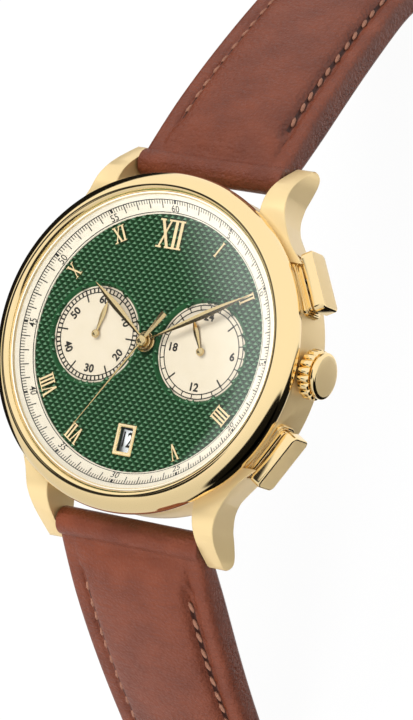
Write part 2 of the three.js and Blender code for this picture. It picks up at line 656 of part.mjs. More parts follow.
function mainPlate() {
  let body = disc(MOVEMENT_R, PLATE_Z0, PLATE_Z1, 0, 0, ROUND);
  body = body.add(ring(DATE_RING_R1 + 2 * FIT, MOVEMENT_R, PLATE_Z1 - 0.1, PLATE_Z1 + 0.3));
  body = body.add(disc(POST_R, PLATE_Z1 - 0.5, GEAR_Z + 2 * WHEEL_LAYER, 0, GEAR_CENTRES, PIN_ROUND));
  body = body.subtract(disc(CANNON_R + PIPE_RUN, 0, ALL));
  for (const side of [-1, 1]) {
    body = body.subtract(disc(ARBOR_R + RUN, 0, ALL, side * SUBDIAL_X, 0, PIN_ROUND));
  }
  return body;
}

// The left part of a disc, cut straight at x.
function cutDisc(radius, z0, z1, x) {
  return disc(radius, z0, z1, 0, 0, ROUND).intersect(block(-ALL, x, -ALL, ALL, z0 - 1, z1 + 1));
}

const batteryHole = () => disc(BATTERY_R + FIT, 0, ALL, BATTERY_X, BATTERY_Y, MIDDLE_ROUND);

function trainBridge() {
  let body = cutDisc(MOVEMENT_R - 0.6, BRIDGE_Z0, PLATE_Z0 - SEAT, STEM_X0 - 1.5);
  body = body.subtract(batteryHole());
  const half = COIL_LENGTH / 2 + FIT;
  const side = BOBBIN_R + FIT;
  body = body.subtract(block(-half, half, COIL_Y - side, COIL_Y + side, 0, COIL_Z + COIL_R + FIT));
  for (const x of [0, -SUBDIAL_X]) {
    body = body.subtract(disc(ARBOR_R + RUN, ARBOR_Z0 - FIT, ALL, x, 0, PIN_ROUND));
    body = body.subtract(disc(ARBOR_WHEEL_R + FIT, ARBOR_WHEEL_Z - FIT, ALL, x, 0, PIN_ROUND));
  }
  return body;
}

function circuitBoard() {
  const top = BRIDGE_Z0 - SEAT;
  return cutDisc(MOVEMENT_R - 1, top - BOARD_THICK, top, STEM_X0 - 2).subtract(batteryHole());
}

// Winding of the stepping motor between its two cheeks.
function coil() {
  const half = COIL_LENGTH / 2;
  let body = barX(COIL_R, -half, half, COIL_Y, COIL_Z);
  for (const [x0, x1] of [[-half, -half + BOBBIN_END], [half - BOBBIN_END, half]]) {
    const cheek = block(x0, x1, COIL_Y - BOBBIN_R, COIL_Y + BOBBIN_R, COIL_Z - COIL_R, COIL_Z + COIL_R);
    body = body.add(cheek);
  }
  return body;
}

function battery() {
  const z0 = BATTERY_TOP - BATTERY_THICK;
  const body = turned([
    [0, z0], [BATTERY_R - 0.3, z0], [BATTERY_R, z0 + 0.3], [BATTERY_R, BATTERY_TOP], [0, BATTERY_TOP],
  ], MIDDLE_ROUND);
  return body.translate([BATTERY_X, BATTERY_Y, 0]);
}

// Strip across the button cell, with a foot at each end on the circuit board.
function batteryClamp() {
  const z1 = BATTERY_TOP - BATTERY_THICK - SEAT;
  const z0 = z1 - CLAMP_THICK;
  const half = BATTERY_R + CLAMP_REACH;
  const board = BRIDGE_Z0 - SEAT - BOARD_THICK - SEAT;
  const y0 = BATTERY_Y - CLAMP_W / 2;
  const y1 = BATTERY_Y + CLAMP_W / 2;
  let body = block(BATTERY_X - half, BATTERY_X + half, y0, y1, z0, z1);
  for (const x0 of [BATTERY_X - half, BATTERY_X + half - 1]) {
    body = body.add(block(x0, x0 + 1, y0, y1, z0, board));
  }
  return body;
}

// A toothed outline with pointed teeth, thinner than the gaps so that meshed teeth run free.
function gearOutline(teeth, module, turn = 0) {
  const root = (teeth * module) / 2 - 1.15 * module;
  const tip = (teeth * module) / 2 + 0.8 * module;
  const pitch = (2 * Math.PI) / teeth;
  const outline = [];
  for (let i = 0; i < teeth; i++) {
    const middle = (i + turn) * pitch;
    for (const [r, share] of [[root, -0.3], [tip, 0], [root, 0.3]]) {
      const a = middle + share * pitch;
      outline.push([r * Math.cos(a), r * Math.sin(a)]);
    }
  }
  return outline;
}

// The turn, in teeth, that puts a tooth (0) or a gap (0.5) of a gear on the line to its partner.
const towardsY = (teeth, shift) => (teeth / 4 + shift) % 1;

function cannonPinion() {
  const bottom = PLATE_Z1 - 0.8;
  let body = disc(CANNON_R, bottom, MINUTE_HAND_Z + HAND_THICK + 0.1);
  const teeth = gearOutline(CANNON_TEETH, CANNON_MODULE, towardsY(CANNON_TEETH, 0));
  body = body.add(plate(teeth, GEAR_Z, GEAR_Z + WHEEL_THICK));
  return body.subtract(disc(ARBOR_R + RUN, 0, ALL));
}

function minuteWheel() {
  const wheelTeeth = gearOutline(MINUTE_WHEEL_TEETH, CANNON_MODULE, towardsY(MINUTE_WHEEL_TEETH, 0.5));
  const pinionTeeth = gearOutline(MINUTE_PINION_TEETH, HOUR_MODULE, towardsY(MINUTE_PINION_TEETH, 0.5));
  let body = plate(wheelTeeth, GEAR_Z, GEAR_Z + WHEEL_THICK);
  body = body.add(plate(pinionTeeth, GEAR_Z + WHEEL_THICK - 0.01, GEAR_Z + WHEEL_LAYER + WHEEL_THICK));
  body = body.subtract(disc(POST_R + RUN, 0, ALL, 0, 0, PIN_ROUND));
  return body.translate([0, GEAR_CENTRES, 0]);
}

function hourWheel() {
  const z = GEAR_Z + WHEEL_LAYER;
  const teeth = gearOutline(HOUR_WHEEL_TEETH, HOUR_MODULE, towardsY(HOUR_WHEEL_TEETH, 0));
  let body = plate(teeth, z, z + WHEEL_THICK);
  body = body.add(disc(HOUR_PIPE_R, z, HOUR_HAND_Z + HAND_THICK + 0.08));
  return body.subtract(disc(CANNON_R + PIPE_RUN, 0, ALL));
}

// Printed ring with its teeth round the inside.
function dateRing() {
  const tip = DATE_RING_R0;
  const root = DATE_RING_R0 + DATE_TOOTH;
  const hole = [];
  for (let i = 0; i < DATE_TEETH; i++) {
    for (const [r, share] of [[tip, 0.25], [tip, 0.5], [root, 0.62], [root, 1.1]]) {
      const a = (2 * Math.PI * (i + share)) / DATE_TEETH;
      hole.push([r * Math.cos(a), r * Math.sin(a)]);
    }
  }
  const body = disc(DATE_RING_R1, DATE_RING_Z, DATE_RING_Z + DATE_RING_THICK, 0, 0, 2 * DATE_TEETH);
  return body.subtract(plate(hole, 0, ALL));
}

// Thin ring over the date ring's teeth, on three legs.
function dateRingGuard() {
  const z = DATE_RING_Z + DATE_RING_THICK + 0.06;
  const inner = DATE_RING_R0 - GUARD_HALF_WIDTH;
  let body = ring(inner, DATE_RING_R0 + GUARD_HALF_WIDTH, z, z + GUARD_THICK);
  for (const degrees of [90, 210, 330]) {
    const x = (inner + 0.35) * Math.cos(radians(degrees));
    const y = (inner + 0.35) * Math.sin(radians(degrees));
    body = body.add(disc(0.3, PLATE_Z1 + SEAT, z + 0.05, x, y, PIN_ROUND));
  }
  return body;
}

// ---------- hands ----------
// A leaf hand along +Y: widest past its middle, and pointed at both ends.
function leafHand(length, width, hubR, holeR) {
  const right = [
    [0.12, 0], [0.13, length * 0.12], [width * 0.32, length * 0.32], [width * 0.46, length * 0.5],
    [width / 2, length * 0.62], [width * 0.38, length * 0.78], [width * 0.18, length * 0.91], [0.03, length],
  ];
  const left = right.map(([x, y]) => [-x, y]).reverse();
  let body = plate([...right, ...left], 0, HAND_THICK);
  body = body.add(disc(hubR, 0, HAND_THICK + 0.04));
  return body.subtract(disc(holeR, -1, 1));
}

// The chronograph's hand: a needle with a flared tail, and the cap over its hub.
function needleHand() {
  const tail = CHRONO_TAIL_LENGTH;
  const right = [[0.38, -tail], [0.36, 0.5 - tail], [0.17, -0.7], [0.14, 0], [0.05, CHRONO_HAND_LENGTH]];
  const left = right.map(([x, y]) => [-x, y]).reverse();
  let body = plate([...right, ...left], 0, HAND_THICK);
  const cap = turned([
    [0, -SEAT], [CHRONO_CAP_R, -SEAT], [CHRONO_CAP_R, 0.15], [CHRONO_CAP_R - 0.25, CHRONO_CAP_H - 0.1],
    [0, CHRONO_CAP_H],
  ], SMALL_ROUND);
  body = body.add(cap);
  return body.subtract(disc(ARBOR_R + RUN, -1, HAND_THICK + 0.1));
}

// Places a hand that points to clockwise degrees from 12.
function addHand(name, body, x, z, clockwise) {
  const hand = mesh(name, body, steelGold);
  hand.position.set(x, 0, z);
  hand.rotation.z = -radians(clockwise);
  watch.add(hand);
}

function addHands() {
  const hour = leafHand(HOUR_HAND_LENGTH, HOUR_HAND_W, HOUR_HUB_R, HOUR_PIPE_R + SEAT);
  addHand("hour_hand", hour, 0, HOUR_HAND_Z, 30 * HOURS_SHOWN);
  const minute = leafHand(MINUTE_HAND_LENGTH, MINUTE_HAND_W, MINUTE_HUB_R, CANNON_R + SEAT);
  addHand("minute_hand", minute, 0, MINUTE_HAND_Z, 6 * MINUTES_SHOWN);
  addHand("chrono_seconds_hand", needleHand(), 0, CHRONO_HAND_Z, 6 * CHRONO_SECONDS_SHOWN);
  const small = () => leafHand(SMALL_HAND_LENGTH, SMALL_HAND_W, SMALL_HUB_R, ARBOR_R + SEAT);
  addHand("chrono_minute_hand", small(), -SUBDIAL_X, SMALL_HAND_Z, 6 * CHRONO_MINUTES_SHOWN);
  addHand("day_hand", small(), SUBDIAL_X, SMALL_HAND_Z, 15 * (12 + HOURS_SHOWN));
}

// Arbor with its wheel, which the train drives.
function arbor(x, z0, z1) {
  const body = disc(ARBOR_R, z0, z1, x, 0, PIN_ROUND);
  const wheelTop = ARBOR_WHEEL_Z + ARBOR_WHEEL_THICK;
  return body.add(disc(ARBOR_WHEEL_R, ARBOR_WHEEL_Z, wheelTop, x, 0, PIN_ROUND));
}

// ---------- crown, stem and pushers ----------
// Fluted cylinder with a smooth domed cap, hollow towards the case.
function crown() {
  const outline = [];
  for (let i = 0; i < CROWN_FLUTES; i++) {
    for (const [r, share] of [[CROWN_R, -0.3], [CROWN_R, 0.1], [CROWN_R - CROWN_FLUTE, 0.4]]) {
      const a = (2 * Math.PI * (i + share)) / CROWN_FLUTES;
      outline.push([r * Math.cos(a), r * Math.sin(a)]);
    }
  }
  const capStart = CROWN_X0 + CROWN_LENGTH - CROWN_CAP;
  let body = plateX(outline, CROWN_X0, capStart);
  const profile = [
    [0, 0], [CROWN_R, 0], [CROWN_R, CROWN_CAP - 0.25], [CROWN_R - 0.35, CROWN_CAP],
    [CROWN_R * 0.5, CROWN_CAP + CROWN_DOME * 0.75], [0, CROWN_CAP + CROWN_DOME],
  ].map(([r, out]) => new THREE.Vector2(r, out));
  const cap = new THREE.LatheGeometry(profile, CROWN_FLUTES).rotateZ(-Math.PI / 2);
  body = body.add(solid(cap.translate(capStart, 0, 0)));
  body = body.subtract(barX(CROWN_TUBE_R + 0.45, CROWN_X0 - 1, CROWN_X0 + CROWN_WELL, 0, 0));
  return body.subtract(barX(STEM_R + RUN, CROWN_X0 - 1, CROWN_X0 + CROWN_WELL + 0.8, 0, 0, PIN_ROUND));
}

function crownTube() {
  const step = barX(CROWN_TUBE_R, BORE_R + FIT, CASE_R + CROWN_TUBE_OUT, 0, 0);
  const flange = barX(CROWN_TUBE_R + 0.35, CASE_R + 0.05, CASE_R + 0.35, 0, 0);
  const bore = barX(STEM_R + STEM_COLLAR, BORE_R - 1, CASE_R + 3, 0, 0, PIN_ROUND);
  return step.add(flange).subtract(bore);
}

function crownGasket() {
  const x = CROWN_X0 + FIT;
  const body = barX(CROWN_TUBE_R + 0.4, x, x + 0.7, 0, 0);
  return body.subtract(barX(CROWN_TUBE_R + 0.08, x - 1, x + 2, 0, 0));
}

function stem() {
  const body = barX(STEM_R, STEM_X0, CROWN_X0 + CROWN_WELL + 0.7, 0, 0, PIN_ROUND);
  return body.add(barX(STEM_R + STEM_COLLAR, STEM_X0 + 1, STEM_X0 + 2.2, 0, 0, PIN_ROUND));
}

// Stepped collar on the case flank, with the tube that guides the pusher's rod.
function pusherTube() {
  const inside = PUSHER_STEP_R - 0.1;
  let body = pusherPlate(PUSHER_SEAT_R + SEAT, PUSHER_STEP_R, 0);
  body = body.add(pusherPlate(inside, PUSHER_STEP_R + PUSHER_LEDGE, -PUSHER_LEDGE_INSET));
  body = body.add(pusherPlate(inside, PUSHER_STEP_R + PUSHER_BOSS, -PUSHER_BOSS_INSET));
  body = body.add(barX(PUSHER_TUBE_R, BORE_R + FIT, PUSHER_SEAT_R + 0.2, 0, 0));
  body = body.subtract(barX(PUSHER_ROD_R + RUN, BORE_R - 1, PUSHER_OUT, 0, 0, PIN_ROUND));
  const springWell = barX(SPRING_R + SPRING_WIRE + FIT, PUSHER_STEP_R - SPRING_WELL, PUSHER_OUT, 0, 0);
  return body.subtract(springWell);
}

// Hollow head that goes over the collar's boss, and its rod.
function pusherHead() {
  const w = PUSHER_W / 2 - PUSHER_WALL;
  const h = PUSHER_H / 2 - PUSHER_WALL;
  const edge = PUSHER_OUT - PUSHER_ROUNDING;
  let body = pusherPlate(PUSHER_CAP_R0, edge, 0);
  body = body.add(pusherPlate(edge - 0.01, PUSHER_OUT, -0.6 * PUSHER_ROUNDING));
  body = body.subtract(block(PUSHER_CAP_R0 - 1, PUSHER_OUT - PUSHER_FACE, -w, w, -h, h));
  const rod = barX(PUSHER_ROD_R, BORE_R - PUSHER_ROD_IN, PUSHER_OUT - 0.7 * PUSHER_FACE, 0, 0, PIN_ROUND);
  return body.add(rod);
}

// Return spring round the rod, from the head's inner face into the collar's counterbore.
function pusherSpring() {
  const x1 = PUSHER_OUT - PUSHER_FACE - SPRING_WIRE - SEAT;
  const x0 = PUSHER_STEP_R - SPRING_WELL + PUSHER_TRAVEL + SPRING_WIRE + SEAT;
  class Helix extends THREE.Curve {
    getPoint(t, target = new THREE.Vector3()) {
      const a = 2 * Math.PI * SPRING_TURNS * t;
      return target.set(x0 + (x1 - x0) * t, SPRING_R * Math.cos(a), SPRING_R * Math.sin(a));
    }
  }
  const wire = new THREE.Shape().absarc(0, 0, SPRING_WIRE, 0, 2 * Math.PI);
  const steps = SPRING_TURNS * 9;
  const options = { steps, extrudePath: new Helix(), curveSegments: 3, bevelEnabled: false };
  return solid(new THREE.ExtrudeGeometry(wire, options));
}

function addControls() {
  const crownSide = radialFrame(0, CONTROL_Z);
  crownSide.add(mesh("crown_tube", crownTube(), satinGold));
  crownSide.add(mesh("stem", stem(), steel));
  crownSide.add(mesh("crown", crown(), steelGold));
  crownSide.add(mesh("crown_gasket", crownGasket(), rubber));
  watch.add(crownSide);
  for (const [hour, side] of [[2, 1], [4, -1]]) {
    const frame = radialFrame(side * PUSHER_ANGLE, CONTROL_Z);
    frame.add(mesh(`pusher_tube_${hour}`, pusherTube(), satinGold));
    frame.add(mesh(`pusher_${hour}`, pusherHead(), steelGold));
    frame.add(mesh(`pusher_spring_${hour}`, pusherSpring(), steel));
    watch.add(frame);
  }
}

// ---------- strap and buckle ----------
function springBar(side) {
  const half = LUG_GAP / 2 - SIDE_PLAY;
  const tips = LUG_GAP / 2 + BAR_TIP_DEPTH;
  const body = barX(BAR_R, -half, half, side * BAR_Y, BAR_Z);
  return body.add(barX(BAR_TIP_R, -tips, tips, side * BAR_Y, BAR_Z, PIN_ROUND));
}

const LONG_END = BAR_Y + LONG_LINE.at(-1).out;
const SHORT_END = BAR_Y + SHORT_LINE.at(-1).out; // also the buckle's bar
const BUCKLE_Z = FLOOR_Z + BUCKLE_LOOP_R;
const FIXED_KEEPER_Y = SHORT_END - TONGUE_SLOT - FIXED_KEEPER_GAP - KEEPER_W / 2;
const FREE_KEEPER_Y = FIXED_KEEPER_Y - KEEPER_W - FREE_KEEPER_GAP;

// A strap half, cut to its outline, with its loop and the tunnel for its spring bar.
function strapHalf(line, side, loops, outline) {
  const half = Math.max(LUG_GAP, STRAP_W) / 2;
  let body = plateX(strapSide(line, STRAP_T / 2, side), -half, half);
  for (const { r, y, z } of loops) body = body.add(barX(r, -half, half, y, z));
  body = body.intersect(plate(outline, FLOOR_Z - 5, BAR_Z + 10));
  for (const { hole, y, z } of loops) body = body.subtract(barX(hole, -ALL, ALL, y, z));
  return body;
}

const caseLoop = (side) => ({ r: STRAP_LOOP_R, hole: BAR_R + RUN, y: side * BAR_Y, z: BAR_Z });

function longStrap() {
  const point = (half, end) => [
    [half, end - 10], [0.72 * half, end - 4.6], [0.34 * half, end - 1.1], [0.6, end],
  ];
  let body = strapHalf(LONG_LINE, -1, [caseLoop(-1)], strapPlan(-1, LONG_END, point));
  for (let i = 0; i < STRAP_HOLES; i++) {
    const y = -(LONG_END - STRAP_HOLE_FIRST - i * STRAP_HOLE_PITCH);
    body = body.subtract(disc(STRAP_HOLE_R, FLOOR_Z - 5, FLOOR_Z + 10, 0, y, PIN_ROUND));
  }
  return body;
}

function shortStrap() {
  const square = (half, end) => [[half, end + BUCKLE_LOOP_R]];
  const buckleLoop = { r: BUCKLE_LOOP_R, hole: BUCKLE_BAR_R + RUN, y: SHORT_END, z: BUCKLE_Z };
  let body = strapHalf(SHORT_LINE, 1, [caseLoop(1), buckleLoop], strapPlan(1, SHORT_END, square));
  const notch = TONGUE_W / 2 + TONGUE_GAP;
  const y0 = SHORT_END - TONGUE_SLOT;
  body = body.subtract(block(-notch, notch, y0, SHORT_END + 5, FLOOR_Z - 5, FLOOR_Z + 10));
  // The strap is thinned from below where the keepers pass under it.
  const thin0 = FREE_KEEPER_Y - KEEPER_W / 2 - FREE_KEEPER_TRAVEL - 0.3;
  const thin1 = FIXED_KEEPER_Y + KEEPER_W / 2 + 0.3;
  return body.subtract(block(-ALL, ALL, thin0, thin1, FLOOR_Z - 5, FLOOR_Z + KEEPER_FLOOR + KEEPER_GAP));
}

// A leather loop round the flat of the short half, open above the strap for the long half.
function keeper(y) {
  const w = STRAP_W / 2 + KEEPER_GAP;
  const top = FLOOR_Z + STRAP_T + KEEPER_GAP + KEEPER_ROOM;
  const y0 = y - KEEPER_W / 2;
  const y1 = y + KEEPER_W / 2;
  const outer = block(-w - KEEPER_WALL, w + KEEPER_WALL, y0, y1, FLOOR_Z, top + KEEPER_WALL);
  return outer.subtract(block(-w, w, y0 - 1, y1 + 1, FLOOR_Z + KEEPER_FLOOR, top));
}

function buckleFrame() {
  const half = BUCKLE_HALF;
  const y0 = SHORT_END - BUCKLE_LOOP_R + 0.15;
  const y1 = SHORT_END + BUCKLE_REACH;
  const c = BUCKLE_CORNER;
  const right = [
    [half - 0.6, y0], [half, y0 + 0.6], [half, y1 - c], [half - 0.3 * c, y1 - 0.3 * c], [half - c, y1],
  ];
  const left = right.map(([x, y]) => [-x, y]).reverse();
  let body = plate([...right, ...left], FLOOR_Z, FLOOR_Z + BUCKLE_T);
  // Knuckles round the bar, at the ends of the arms.
  const inner = half - BUCKLE_ARM;
  body = body.add(barX(BUCKLE_LOOP_R - 0.1, -half, half, SHORT_END, BUCKLE_Z));
  body = body.subtract(block(-inner, inner, y0 - 5, y1 - BUCKLE_FRONT, FLOOR_Z - 5, FLOOR_Z + 10));
  // A shallow seat for the tongue's tip.
  const seat = TONGUE_W / 2 + 0.2;
  const seatZ = FLOOR_Z + TONGUE_SEAT;
  body = body.subtract(block(-seat, seat, y1 - BUCKLE_FRONT - 1, y1 + 1, seatZ, seatZ + 10));
  return body.subtract(barX(BUCKLE_BAR_R + SEAT, -half + 0.4, half - 0.4, SHORT_END, BUCKLE_Z));
}

function buckleBar() {
  const half = BUCKLE_HALF - 0.5;
  return barX(BUCKLE_BAR_R, -half, half, SHORT_END, BUCKLE_Z);
}

function buckleTongue() {
  const half = TONGUE_W / 2;
  const y1 = SHORT_END + BUCKLE_REACH - 0.3;
  const rest = FLOOR_Z + TONGUE_SEAT + SEAT;
  const side = [
    [SHORT_END, BUCKLE_Z - 0.3], [SHORT_END + 3, BUCKLE_Z - 0.1], [y1 - BUCKLE_FRONT - 0.4, rest], [y1, rest],
    [y1, rest + 0.6], [y1 - BUCKLE_FRONT - 0.4, rest + TONGUE_T], [SHORT_END + 3, BUCKLE_Z + TONGUE_T],
    [SHORT_END, BUCKLE_Z + BUCKLE_LOOP_R - 0.15],
  ];
  let body = plateX(side, -half, half);
  body = body.add(barX(BUCKLE_LOOP_R - 0.15, -half, half, SHORT_END, BUCKLE_Z));
  return body.subtract(barX(BUCKLE_BAR_R + RUN, -ALL, ALL, SHORT_END, BUCKLE_Z));
}

// ---------- assembly ----------
watch.add(mesh("mid_case", midCase(), satinGold));
watch.add(mesh("bezel", bezel(), steelGold));
watch.add(mesh("crystal", crystal(), glass));
watch.add(mesh("crystal_gasket", crystalGasket(), nylon));
watch.add(mesh("flange_ring", flangeRing(), cream));
watch.add(mesh("case_back", caseBack(), steelGold));
watch.add(mesh("back_gasket", backGasket(), rubber));
watch.add(mesh("dial", dial(), green));
watch.add(mesh("date_frame", dateFrame(), steelGold));
addNumerals();
watch.add(mesh("movement_holder", movementHolder(), nylon));
watch.add(mesh("main_plate", mainPlate(), brass));
watch.add(mesh("train_bridge", trainBridge(), steel));
watch.add(mesh("circuit_board", circuitBoard(), boardGreen));
watch.add(mesh("coil", coil(), copper));
watch.add(mesh("battery", battery(), steel));
watch.add(mesh("battery_clamp", batteryClamp(), steel));
watch.add(mesh("date_ring", dateRing(), cream));
watch.add(mesh("date_ring_guard", dateRingGuard(), blackPlastic));
watch.add(mesh("cannon_pinion", cannonPinion(), brass));
watch.add(mesh("minute_wheel", minuteWheel(), brass));
watch.add(mesh("hour_wheel", hourWheel(), brass));
watch.add(mesh("centre_arbor", arbor(0, ARBOR_Z0, CHRONO_HAND_Z + HAND_THICK), steel));
watch.add(mesh("counter_arbor", arbor(-SUBDIAL_X, ARBOR_Z0, SMALL_HAND_Z + HAND_THICK), steel));
watch.add(mesh("day_arbor", arbor(SUBDIAL_X, ARBOR_WHEEL_Z, SMALL_HAND_Z + HAND_THICK), steel));
addHands();
addControls();
watch.add(mesh("spring_bar_12", springBar(1), steel));
watch.add(mesh("spring_bar_6", springBar(-1), steel));
watch.add(mesh("strap_12", shortStrap(), leather));
watch.add(mesh("strap_6", longStrap(), leather));
watch.add(mesh("fixed_keeper", keeper(FIXED_KEEPER_Y), leather));
watch.add(mesh("free_keeper", keeper(FREE_KEEPER_Y), leather));
watch.add(mesh("buckle_frame", buckleFrame(), steelGold));
watch.add(mesh("buckle_bar", buckleBar(), steel));
watch.add(mesh("buckle_tongue", buckleTongue(), steelGold));

export default watch;
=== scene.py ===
# A chronograph wristwatch on a leather strap, unbuckled and standing as an arch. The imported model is
# the frame: every piece here lies where its solid lies, and rides on the body that carries it.
import json
import math

import bmesh
import bpy
from mathutils import Matrix, Vector


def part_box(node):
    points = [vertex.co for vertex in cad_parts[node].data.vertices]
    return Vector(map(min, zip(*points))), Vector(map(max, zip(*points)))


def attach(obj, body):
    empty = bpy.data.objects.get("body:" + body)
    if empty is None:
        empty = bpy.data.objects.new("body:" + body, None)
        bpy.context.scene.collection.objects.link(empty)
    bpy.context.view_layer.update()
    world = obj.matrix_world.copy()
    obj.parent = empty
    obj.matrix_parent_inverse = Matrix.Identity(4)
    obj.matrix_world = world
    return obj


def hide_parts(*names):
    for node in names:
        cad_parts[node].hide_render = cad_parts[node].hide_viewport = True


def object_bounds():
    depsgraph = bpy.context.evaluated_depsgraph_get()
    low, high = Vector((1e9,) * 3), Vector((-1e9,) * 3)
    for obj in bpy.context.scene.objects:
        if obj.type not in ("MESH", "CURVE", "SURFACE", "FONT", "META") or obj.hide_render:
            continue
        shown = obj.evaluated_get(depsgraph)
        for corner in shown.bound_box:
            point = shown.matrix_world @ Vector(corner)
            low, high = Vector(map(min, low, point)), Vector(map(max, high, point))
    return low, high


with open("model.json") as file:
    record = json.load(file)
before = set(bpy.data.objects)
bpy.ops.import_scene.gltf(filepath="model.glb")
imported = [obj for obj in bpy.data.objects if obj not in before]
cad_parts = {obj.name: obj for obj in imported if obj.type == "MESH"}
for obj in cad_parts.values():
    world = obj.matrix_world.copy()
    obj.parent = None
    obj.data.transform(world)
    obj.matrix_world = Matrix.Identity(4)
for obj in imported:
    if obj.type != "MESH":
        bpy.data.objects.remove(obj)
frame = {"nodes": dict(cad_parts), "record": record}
cad_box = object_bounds()
MM = 0.001

# ---------- camera ----------
# A long lens from the front right and above, as a catalogue shows a watch.
lens = bpy.data.cameras.new("camera")
lens.lens = 201.0
lens.sensor_width = 36
lens.clip_start = 0.01
camera = bpy.data.objects.new("camera", lens)
camera.location = (0.24647, -0.03773, 0.39815)
camera.rotation_euler = [math.radians(a) for a in (12.096, 29.580, 14.655)]
bpy.context.scene.collection.objects.link(camera)
bpy.context.scene.camera = camera


# ---------- studio ----------
# A white table in a white room. Metal and glass show the room as a studio lights a watch:
# bright above and behind, dimmer in front, with dark cards that draw the edges.
class Wire:
    """A number or colour inside a finish: arithmetic on it adds Math nodes."""

    def __init__(self, shades, socket):
        self.shades = shades
        self.socket = socket

    def at(self, output):
        return Wire(self.shades, self.socket.node.outputs[output])

    def by(self, operation, *others):
        return self.shades.node("Math", {"operation": operation}, self, *others)

    def __add__(self, other):
        return self.by("ADD", other)

    def __sub__(self, other):
        return self.by("SUBTRACT", other)

    def __mul__(self, other):
        return self.by("MULTIPLY", other)

    def __rsub__(self, other):
        return self.shades.node("Math", {"operation": "SUBTRACT"}, other, self)

    __radd__ = __add__
    __rmul__ = __mul__


class Shades:
    """The nodes of a material or of the room."""

    def __init__(self, owner, output):
        owner.use_nodes = True
        self.tree = owner.node_tree
        self.surface = self.tree.nodes[output].inputs["Surface"]

    def feed(self, socket, value):
        if isinstance(value, Wire):
            self.tree.links.new(value.socket, socket)
        else:
            socket.default_value = (*value, 1) if socket.type == "RGBA" else value

    def node(self, kind, settings=None, *values, **named):
        made = self.tree.nodes.new("ShaderNode" + kind)
        for name, value in (settings or {}).items():
            if name == "stops":
                ramp = made.color_ramp
                while len(ramp.elements) < len(value):
                    ramp.elements.new(0.5)
                for stop, (place, colour) in zip(ramp.elements, value):
                    stop.position = place
                    stop.color = (*colour, 1)
            else:
                setattr(made, name, value)
        for number, value in enumerate(values):
            self.feed(made.inputs[number], value)
        for name, value in named.items():
            self.feed(made.inputs[name.replace("_", " ")], value)
        return Wire(self, made.outputs[0])

    def smooth_step(self, value, low, high):
        step = {"interpolation_type": "SMOOTHSTEP"}
        return self.node("MapRange", step, Value=value, From_Min=low, From_Max=high)


class Finish(Shades):
    """A surface finish: one Principled shader, and the nodes that vary it over the piece."""

    def __init__(self, name, **values):
        self.material = bpy.data.materials.new(name)
        super().__init__(self.material, "Material Output")
        self.shader = self.tree.nodes["Principled BSDF"]
        self.set(**values)
        self.place = self.node("TexCoord").at("Object")

    def set(self, **values):
        for name, value in values.items():
            self.feed(self.shader.inputs[name.replace("_", " ")], value)

    def noise(self, scale, detail=2.0, stretch=(1, 1, 1)):
        """Soft noise with about `scale` cells in a metre, pulled out along an axis by a small stretch."""
        place = self.node("Mapping", None, Vector=self.place, Scale=stretch)
        return self.node("TexNoise", None, Vector=place, Scale=scale, Detail=detail)

    def blend(self, share, first, second):
        """A colour between two colours."""
        return self.node("ValToRGB", {"stops": [(0, first), (1, second)]}, share)

    def bump(self, height, distance, strength=1.0):
        self.set(Normal=self.node("Bump", None, Height=height, Distance=distance, Strength=strength))


bpy.context.scene.view_settings.view_transform = "Standard"

paper = Finish("table_top", Base_Color=(0.9, 0.9, 0.9), Roughness=0.9, Specular_IOR_Level=0.1)
seen = paper.node("LightPath").at("Is Camera Ray")
glow = paper.node("Emission", None, Color=(1, 1, 1), Strength=1.0)
body = Wire(paper, paper.shader.outputs[0])
paper.feed(paper.surface, paper.node("MixShader", None, seen * 0.96, body, glow))
shape = bmesh.new()
bmesh.ops.create_grid(shape, x_segments=1, y_segments=1, size=3)
bmesh.ops.translate(shape, vec=(0, 0, cad_box[0].z - 0.00002), verts=shape.verts)
mesh = bpy.data.meshes.new("table")
shape.to_mesh(mesh)
shape.free()
mesh.materials.append(paper.material)
table = bpy.data.objects.new("table", mesh)
table.visible_glossy = False
bpy.context.scene.collection.objects.link(table)

world = bpy.data.worlds.new("room")
bpy.context.scene.world = world
room = Shades(world, "World Output")
toward = room.node("VectorMath", {"operation": "NORMALIZE"}, room.node("TexCoord"))


def facing(x, y, z):
    """How nearly a look into the room goes towards a direction: 1 straight at it."""
    way = Vector((x, y, z)).normalized()
    return room.node("VectorMath", {"operation": "DOT_PRODUCT"}, toward, tuple(way)).at("Value")


def card(direction, inner, outer, level):
    """A round card: its level within the inner angle, and no effect past the outer one."""
    edge = room.smooth_step(facing(*direction), math.cos(math.radians(outer)), math.cos(math.radians(inner)))
    return 1 - edge * (1 - level)


light = room.smooth_step(facing(0.12, 1, 0.25), -0.95, 0.35) * 0.30 + 0.75
LEFT_CARD = (-0.72, -0.08, 0.69)
light = light * card(LEFT_CARD, 5, 9, 0.22)
ring_of_left_card = (1 - card(LEFT_CARD, 20, 24.5, 0.03)) * card(LEFT_CARD, 5, 9, 0.0)
light = light * (1 - ring_of_left_card)
DARK_CARDS = [
    ((-0.9, 0.25, -0.3), 32, 35, 0.01),
    ((0.55, -0.45, -0.70), 37, 42, 0.01),
    ((0.74, -0.63, 0.02), 29, 34, 0.01),
    ((-0.28, -0.33, 0.90), 9, 12, 0.02),
]
for dark_card in DARK_CARDS:
    light = light * card(*dark_card)
path = room.node("LightPath")
plain = room.node("Background", None, Color=(1, 1, 1), Strength=0.46)
shown = room.node("CombineColor", None, light, light, light)
polish = room.node("Background", None, Color=shown, Strength=1.0)
white = room.node("Background", None, Color=(1, 1, 1), Strength=1.0)
direct = path.at("Is Camera Ray").by("MAXIMUM", path.at("Is Transmission Ray"))
mixed = room.node("MixShader", None, path.at("Is Glossy Ray"), plain, polish)
room.feed(room.surface, room.node("MixShader", None, direct, mixed, white))


